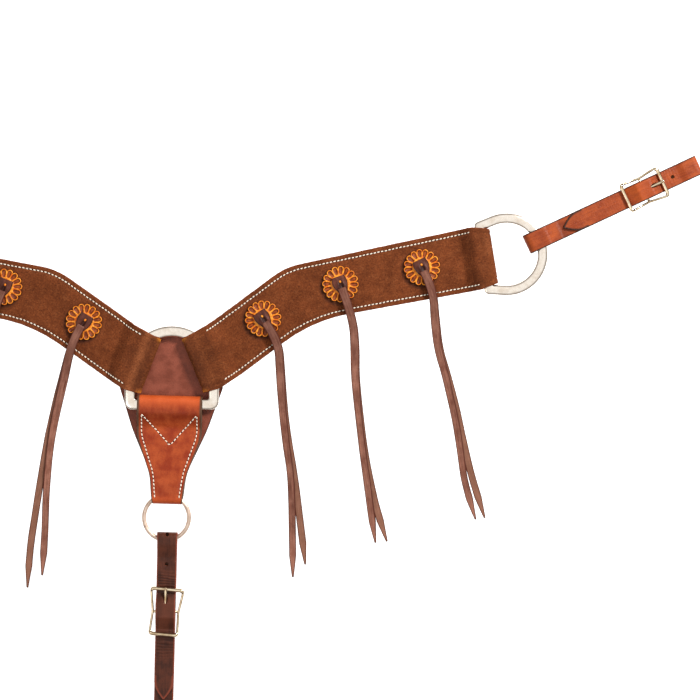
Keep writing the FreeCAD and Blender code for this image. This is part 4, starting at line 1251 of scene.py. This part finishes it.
def buckle_tongue(name, side, body, frame, buckle, reach):
    """Eye round the centre bar and a finger that rests on the end bar."""
    high = END_BAR_Z + 2.0 + 1.9
    rise = np.linspace(0, 1, 22)
    x = buckle - 1.0 - rise * (reach + 1.4)
    z = BAR_Z + 2.8 + (high - BAR_Z - 2.8) * rise + 0.3 * np.sin(rise * math.pi)
    path = columns(x, 0 * x, z)
    radius = 1.75 - 0.35 * rise
    radius[-3:] = (1.3, 1.0, 0.5)
    eye = [(buckle, y, BAR_Z) for y in (-1.5, -1.1, 0.0, 1.1, 1.5)]
    shape = joined([wire(path, radius), wire(eye, (2.4, 2.85, 2.9, 2.85, 2.4))])
    metal_piece(name, frame, shape, BUCKLE_METAL, body, name.replace("_pin", ""), side)


TUG_LENGTH = 211.0
TUG_REACH = TUG_LENGTH + 24.4
TUG_BUCKLE = 67.4
TUG_WIDTH = 22.0
TIE_BUCKLE = 87.0
TIE_LENGTH = 360.0
TIE_WIDTH = 21.6
tug_frame = Frame(SIDE_RING + turned([TUG_REACH, 0.0], TUG_ANGLE), TUG_ANGLE + 180)
for side in SIDES:
    tug = side + "_tug"
    buckled(tug + "_leather", side, tug, tug_frame, TUG_LENGTH, TUG_BUCKLE, (2.4, 18), (4.9, 25),
            (34.8,), RUSSET, TUG_WIDTH, 0.15)
    buckle_wire(tug + "_buckle_wire", side, tug, tug_frame, TUG_BUCKLE, 22.0, 17.2, 16.0, 0)
    buckle_tongue(tug + "_tongue_pin", side, tug + "_tongue", tug_frame, TUG_BUCKLE, 22.0)
buckled("tie_down_leather", "right", "tie_down", tie_frame, TIE_LENGTH, TIE_BUCKLE, (3.8, 13), (2.4, 9),
        (51.6, 84.6), TIE_LEATHER, TIE_WIDTH, 1.0)
buckle_wire("tie_down_buckle_wire", "right", "tie_down", tie_frame, TIE_BUCKLE + 1, 25.0, 18.0, 15.4, -4)
buckle_tongue("tie_down_tongue_pin", "right", "tie_down_tongue", tie_frame, TIE_BUCKLE, 24.0)

# ---- metal rings


def d_outline(radius, bar, taper, corner):
    """D outline about its arc's centre: apex at +Y, straight bar at -Y."""
    lean = math.radians(taper)
    foot = (bar - radius * math.sin(lean)) / math.cos(lean)
    bar_x = radius * math.cos(lean) - foot * math.sin(lean)
    head_x = radius * math.tan((math.pi / 2 + lean) / 2)
    return [(-bar_x, -bar, corner), (bar_x, -bar, corner), (head_x, radius, radius),
            (-head_x, radius, radius)]


def cast_ring(outer, inner, thick, square=0.76):
    """Flat ring between two outlines, its section a rounded rectangle."""
    out_line, in_line = rounded(outer, 0.7, closed=True), rounded(inner, 0.7, closed=True)
    turns = np.linspace(0, 360, 420, endpoint=False)
    centre = np.zeros(2)
    far = np.array([cuts(out_line, centre, degrees)[1] for degrees in turns])
    near = np.array([cuts(in_line, centre, degrees)[1] for degrees in turns])
    section = np.linspace(0, 2 * math.pi, 28, endpoint=False)
    c, s = np.cos(section), np.sin(section)
    c = np.sign(c) * np.abs(c) ** square
    s = np.sign(s) * np.abs(s) ** square
    reach = (far + near)[:, None] / 2 + (far - near)[:, None] / 2 * c[None]
    angle = np.radians(turns + 90)[:, None]
    points = np.stack([reach * np.cos(angle), reach * np.sin(angle),
                       np.broadcast_to(s[None] * thick / 2, reach.shape)], axis=2)
    return points.reshape(-1, 3), tube_faces(len(turns), len(section), True)


CAST_THICK = 5
CENTRE_BAR = 40.5
centre_frame = Frame(RING_ARC, 0.0)
d_frame = Frame(SIDE_RING, END_ANGLE - 90)
centre_shape = (d_outline(52, CENTRE_BAR, 0, 9), d_outline(40.4, CENTRE_BAR - 11.6, 0, 1.5))
d_shape = (d_outline(45.5, 30.4, 13, 5), d_outline(34.6, 19.5, 13, 1.5))
for name, body, ring_frame, shape, height, side in (
        ("centre_ring", "center_ring", centre_frame, centre_shape, RING_Z, "right"),
        ("right_d_ring", "right_d_ring", d_frame, d_shape, END_Z, "right"),
        ("left_d_ring", "left_d_ring", d_frame, d_shape, END_Z, "left")):
    points, faces = cast_ring(*shape, CAST_THICK)
    metal_piece(name + "_casting", ring_frame, (points + [0, 0, height], faces), NICKEL, body, name, side)
turn = np.linspace(0, 2 * math.pi, 120, endpoint=False)
loop = columns(SMALL_RING_RADIUS * np.cos(turn), SMALL_RING_Y + SMALL_RING_RADIUS * np.sin(turn))
metal_piece("small_ring_wire", tab_frame, wire(lifted(loop, LOW_Z), 2.3, closed=True, around=20),
            SMALL_RING_METAL, "small_ring", "small_ring")

# ---- rosettes and knots

PETALS = 16
PETAL_ROOT = 8.0
PETAL_END = 20.2
KNOT_START = -8.8
KNOT_END = 9.6


def rosette(name, body, spot, turn_by, replaces):
    """Carved flower: petals with raised rims round a flat middle."""
    turns = np.linspace(0, 2 * math.pi, PETALS * 16, endpoint=False)
    phase = (turns * PETALS / (2 * math.pi)) % 1 - 0.5
    bulge = 0.70 + 0.30 * np.sqrt(np.clip(1 - (phase / 0.5) ** 2, 0, 1))
    rim_radius = PETAL_ROOT + (PETAL_END - PETAL_ROOT) * bulge
    shares = np.concatenate([np.linspace(0.05, 0.4, 5), np.linspace(0.44, 1.0, 27)])
    radius = rim_radius[:, None] * shares[None]
    t = (radius - PETAL_ROOT) / (PETAL_END - PETAL_ROOT)
    edge = np.hypot(phase[:, None] / 0.5, np.clip(t - 0.70, 0, 1) / 0.30)
    root = step_up(t, 0.14, 0.34)
    rim = bell(edge, 0.86, 0.21) * root + (1 - root)
    hollow = bell(edge, 0.0, 0.52) * root
    height = 7.2 + 0.8 * rim - 0.55 * hollow
    height -= 0.9 * step_up(edge, 0.93, 1.05) * root
    height += 0.5 * (1 - step_up(radius, 0, 9))
    groove = bell(edge, 0.58, 0.10) * step_up(t, 0.3, 0.5)
    count = len(turns)
    reach = np.concatenate([radius.T, [rim_radius, 0.985 * rim_radius]])
    z = np.concatenate([height.T, np.full((1, count), 6.6), np.full((1, count), 4.9)])
    stain = 0.75 * groove + 0.5 * step_up(edge, 0.97, 1.06)
    dark = np.concatenate([stain.T, np.full((1, count), 0.6), np.full((1, count), 0.8)])
    raised = np.concatenate([(rim - 0.35 * hollow).T, np.zeros((2, count))])
    places = np.stack([reach * np.cos(turns), reach * np.sin(turns), z], axis=2).reshape(-1, 3)
    places[:, :2] = turned(places[:, :2], turn_by) + spot
    marks = {"rim": raised.ravel(), "dark": np.clip(dark, 0, 1).ravel()}
    mesh(name, places, tube_faces(len(reach), count, False), ROSETTE, body,
         marks=marks, replaces=replaces)


def knot(side, number, spot, heading):
    """The strings' slit head, laid over the rosette, and the gold leather seen in the slit."""
    frame = Frame(spot, heading)
    body = side + "_wing"
    count = 36
    x = np.linspace(KNOT_START, KNOT_END, count)
    seed = hash_of("%s%d" % (side, number)) * 0.7
    half = np.interp(x, (KNOT_START, -8.0, -2, 3, KNOT_END), (7.0, 7.8, 8.6, 7.6, 4.8))
    half = smooth(half, 1)
    lift = 9.45 + 0.55 * bell(x, -1, 6) + 0.25 * step_up(x, 4, KNOT_END)
    line = frame.place(columns(x, 0 * x, lift))
    across = frame.turn(upright(count))
    normal = np.tile([0.0, 0.0, 1.0], (count, 1))
    low = -half + 0.5 * waves(line, 5, seed)
    high = half + 0.5 * waves(line, 5, seed + 4)

    def slit(u, y, inset):
        along = u + KNOT_START
        folds = 0.3 * rumpled(u, y, 4.5, seed)
        cut = bell(y, 0.4, 1.5) * bell(along, 2.0, 3.0)
        lips = bell(np.abs(y - 0.4), 2.8, 1.0) * bell(along, 1.6, 3.6)
        droop = -0.5 * np.exp(-inset / 1.2)
        return 1.4 * folds - 1.3 * cut + 0.8 * lips + droop

    points, faces, uv, marks = band(line, across, normal, low, high, 1.9, (0.5, 1.1, 1.8, 2.6), 16, slit)
    along = marks["along"] + KNOT_START
    # A little darker all over, with painted shade in the slit.
    marks["dark"] = np.clip(0.22 + 2.0 * bell(marks["over"], 0.4, 1.6) * bell(along, 2.2, 3.2), 0, 1)
    points[:, 2] = np.maximum(points[:, 2], 7.2)
    name = "%s_string_knot_%d" % (side, number)
    mesh(name + "_head", points, faces, KNOT_LEATHER, body, uv=uv, marks=marks,
         replaces=[name])
    button = BALL[0] * [1.5, 1.2, 0.8] + [-2.6, 0.6, 10.95]
    mesh(name + "_button", frame.place(button), BALL[1], ROSETTE, body,
         marks={"rim": np.ones(len(button)), "dark": np.zeros(len(button))}, replaces=[name])


for side in SIDES:
    for number, spot in enumerate(ROSETTES[side], start=1):
        spot = np.array(spot)
        first = np.array(TAILS["front"]["%s_%d" % (side, number)][0])
        heading = math.degrees(math.atan2(*(first - spot)[::-1]))
        name = "%s_rosette_%d" % (side, number)
        rosette(name + "_flower", side + "_wing", spot, heading + 6 * number, [name])
        knot(side, number, spot, heading)

# ---- snap of the tie-down

SNAP_Z = 4.9
EYE_BAR = 355.2
EYE_NECK = 374.2
BARREL_START = 377.1
BARREL_END = 411.1


def lathe(profile, around=28):
    """Turned part along X from (distance, radius) pairs."""
    turn = np.linspace(0, 2 * math.pi, around, endpoint=False)
    points = [columns(np.full(around, x), radius * np.cos(turn), SNAP_Z + radius * np.sin(turn))
              for x, radius in profile]
    return np.concatenate(points), tube_faces(len(profile), around, False)


eye = rounded([(EYE_BAR, -14.5, 3.5), (EYE_BAR + 9, -14.5, 6), (EYE_NECK - 1, -2, 3),
               (EYE_NECK - 1, 2, 3), (EYE_BAR + 9, 14.5, 6), (EYE_BAR, 14.5, 3.5)], 0.9, closed=True)
stem = lathe([(EYE_NECK - 3, 1.2), (EYE_NECK - 2, 2.2), (EYE_NECK + 1, 2.6), (EYE_NECK + 2.3, 2.6),
              (EYE_NECK + 2.6, 1.9), (EYE_NECK + 7.4, 1.9), (EYE_NECK + 7.4, 3.1), (EYE_NECK + 9.2, 3.1)])
start, end = BARREL_START, BARREL_END
barrel = lathe([(start, 2.2), (start, 4.0), (start + 0.8, 4.7), (start + 3, 4.9), (start + 4.2, 4.2),
                (start + 5.4, 4.9), (start + 15, 4.9), (end - 3, 4.9), (end - 1, 4.7), (end, 4.1),
                (end, 2.7), (end - 4, 2.7)])
hook = rounded([(end - 5, -4.6, 0), (end + 6, -11.5, 10), (end + 38, -13, 11), (end + 38, 12, 11),
                (end + 14, 9.5, 8), (end + 14, -1.0, 0)], 1.0)
run = np.linspace(0, 1, len(hook))
girth = 2.5 + 0.35 * np.sin(run * math.pi) - 0.25 * step_up(run, 0.75, 1)
rod = lathe([(end - 13, 2.3), (end + 11.6, 2.3), (end + 12.6, 1.6)])
stalk = [(end - 6.1, y, SNAP_Z) for y in np.linspace(1.5, 8.6, 8)]
thumb = BALL[0] * [2.9, 2.9, 2.2] + [end - 6.1, 8.8, SNAP_Z]
for name, node, parts in (
        ("snap_eye_wire", "snap_eye", [wire(lifted(eye, SNAP_Z), 2.0, closed=True), stem]),
        ("snap_casting", "snap_body", [barrel, wire(lifted(hook, SNAP_Z), girth, squash=1.3, around=18)]),
        ("snap_plunger", "snap_bolt", [rod, wire(stalk, 1.4), (thumb, BALL[1])])):
    metal_piece(name, tie_frame, joined(parts), SNAP_METAL, node, node)

# ---- world, lights and floor


world = bpy.data.worlds.new("studio")
bpy.context.scene.world = world
world.use_nodes = True
tree = world.node_tree
background = tree.nodes["Background"]
coordinates = tree.nodes.new("ShaderNodeTexCoord")
split = tree.nodes.new("ShaderNodeSeparateXYZ")
ramp = tree.nodes.new("ShaderNodeValToRGB")
tree.links.new(coordinates.outputs["Generated"], split.inputs[0])
tree.links.new(split.outputs["Z"], ramp.inputs["Fac"])
tree.links.new(ramp.outputs["Color"], background.inputs["Color"])
shades = ((0.0, (0.10, 0.07, 0.06)), (0.35, (0.20, 0.17, 0.16)), (0.75, (0.50, 0.49, 0.48)),
          (0.92, (1.0, 1.0, 1.0)))
while len(ramp.color_ramp.elements) < len(shades):
    ramp.color_ramp.elements.new(0.5)
for element, (place, shade) in zip(ramp.color_ramp.elements, shades):
    element.position = place
    element.color = (*shade, 1.0)
background.inputs["Strength"].default_value = 1.05
for name, spot, width, power in (("key", (1.45, 1.25, 1.55), 0.55, 62.0),
                                 ("fill", (-1.4, -0.8, 1.9), 1.6, 9.0)):
    light = bpy.data.lights.new(name, "AREA")
    light.shape = "DISK"
    light.size = width
    light.energy = power
    lamp = linked(name, light)
    lamp.location = spot
    aim = Vector((0.18, 0.0, 0.0)) - lamp.location
    lamp.rotation_euler = aim.to_track_quat("-Z", "Y").to_euler()
bpy.context.scene.view_settings.view_transform = "Standard"


def white_sheet(name, shape, roughness, glow):
    """Plain white stage piece from a bmesh."""
    shader = Shader(name, Specular_IOR_Level=0.0, Emission_Strength=glow)
    shader.surface.inputs["Emission Color"].default_value = (1.0, 1.0, 1.0, 1.0)
    shader.base = tint(250, 250, 250)
    data = bpy.data.meshes.new(name)
    shape.to_mesh(data)
    shape.free()
    data.materials.append(shader.finish(roughness))
    return linked(name, data)


# The floor is below everything that a wing, tug or tie-down reaches when it swings down.
FLOOR_Z = -0.55
FLOOR_REACH = 8
DOME_RADIUS = 7.5
sheet = bmesh.new()
sheet.faces.new([sheet.verts.new((x * FLOOR_REACH, y * FLOOR_REACH, FLOOR_Z))
                 for x, y in ((-1, -1), (1, -1), (1, 1), (-1, 1))])
ground = white_sheet("floor", sheet, 0.9, 0.45)
# A white dome that only the camera sees, so that the world's dark horizon stays in reflections.
ball = bmesh.new()
bmesh.ops.create_uvsphere(ball, u_segments=48, v_segments=24, radius=DOME_RADIUS)
backdrop = white_sheet("dome", ball, 1.0, 1.0)
backdrop.visible_diffuse = False
backdrop.visible_glossy = False
backdrop.visible_transmission = False
backdrop.visible_shadow = False
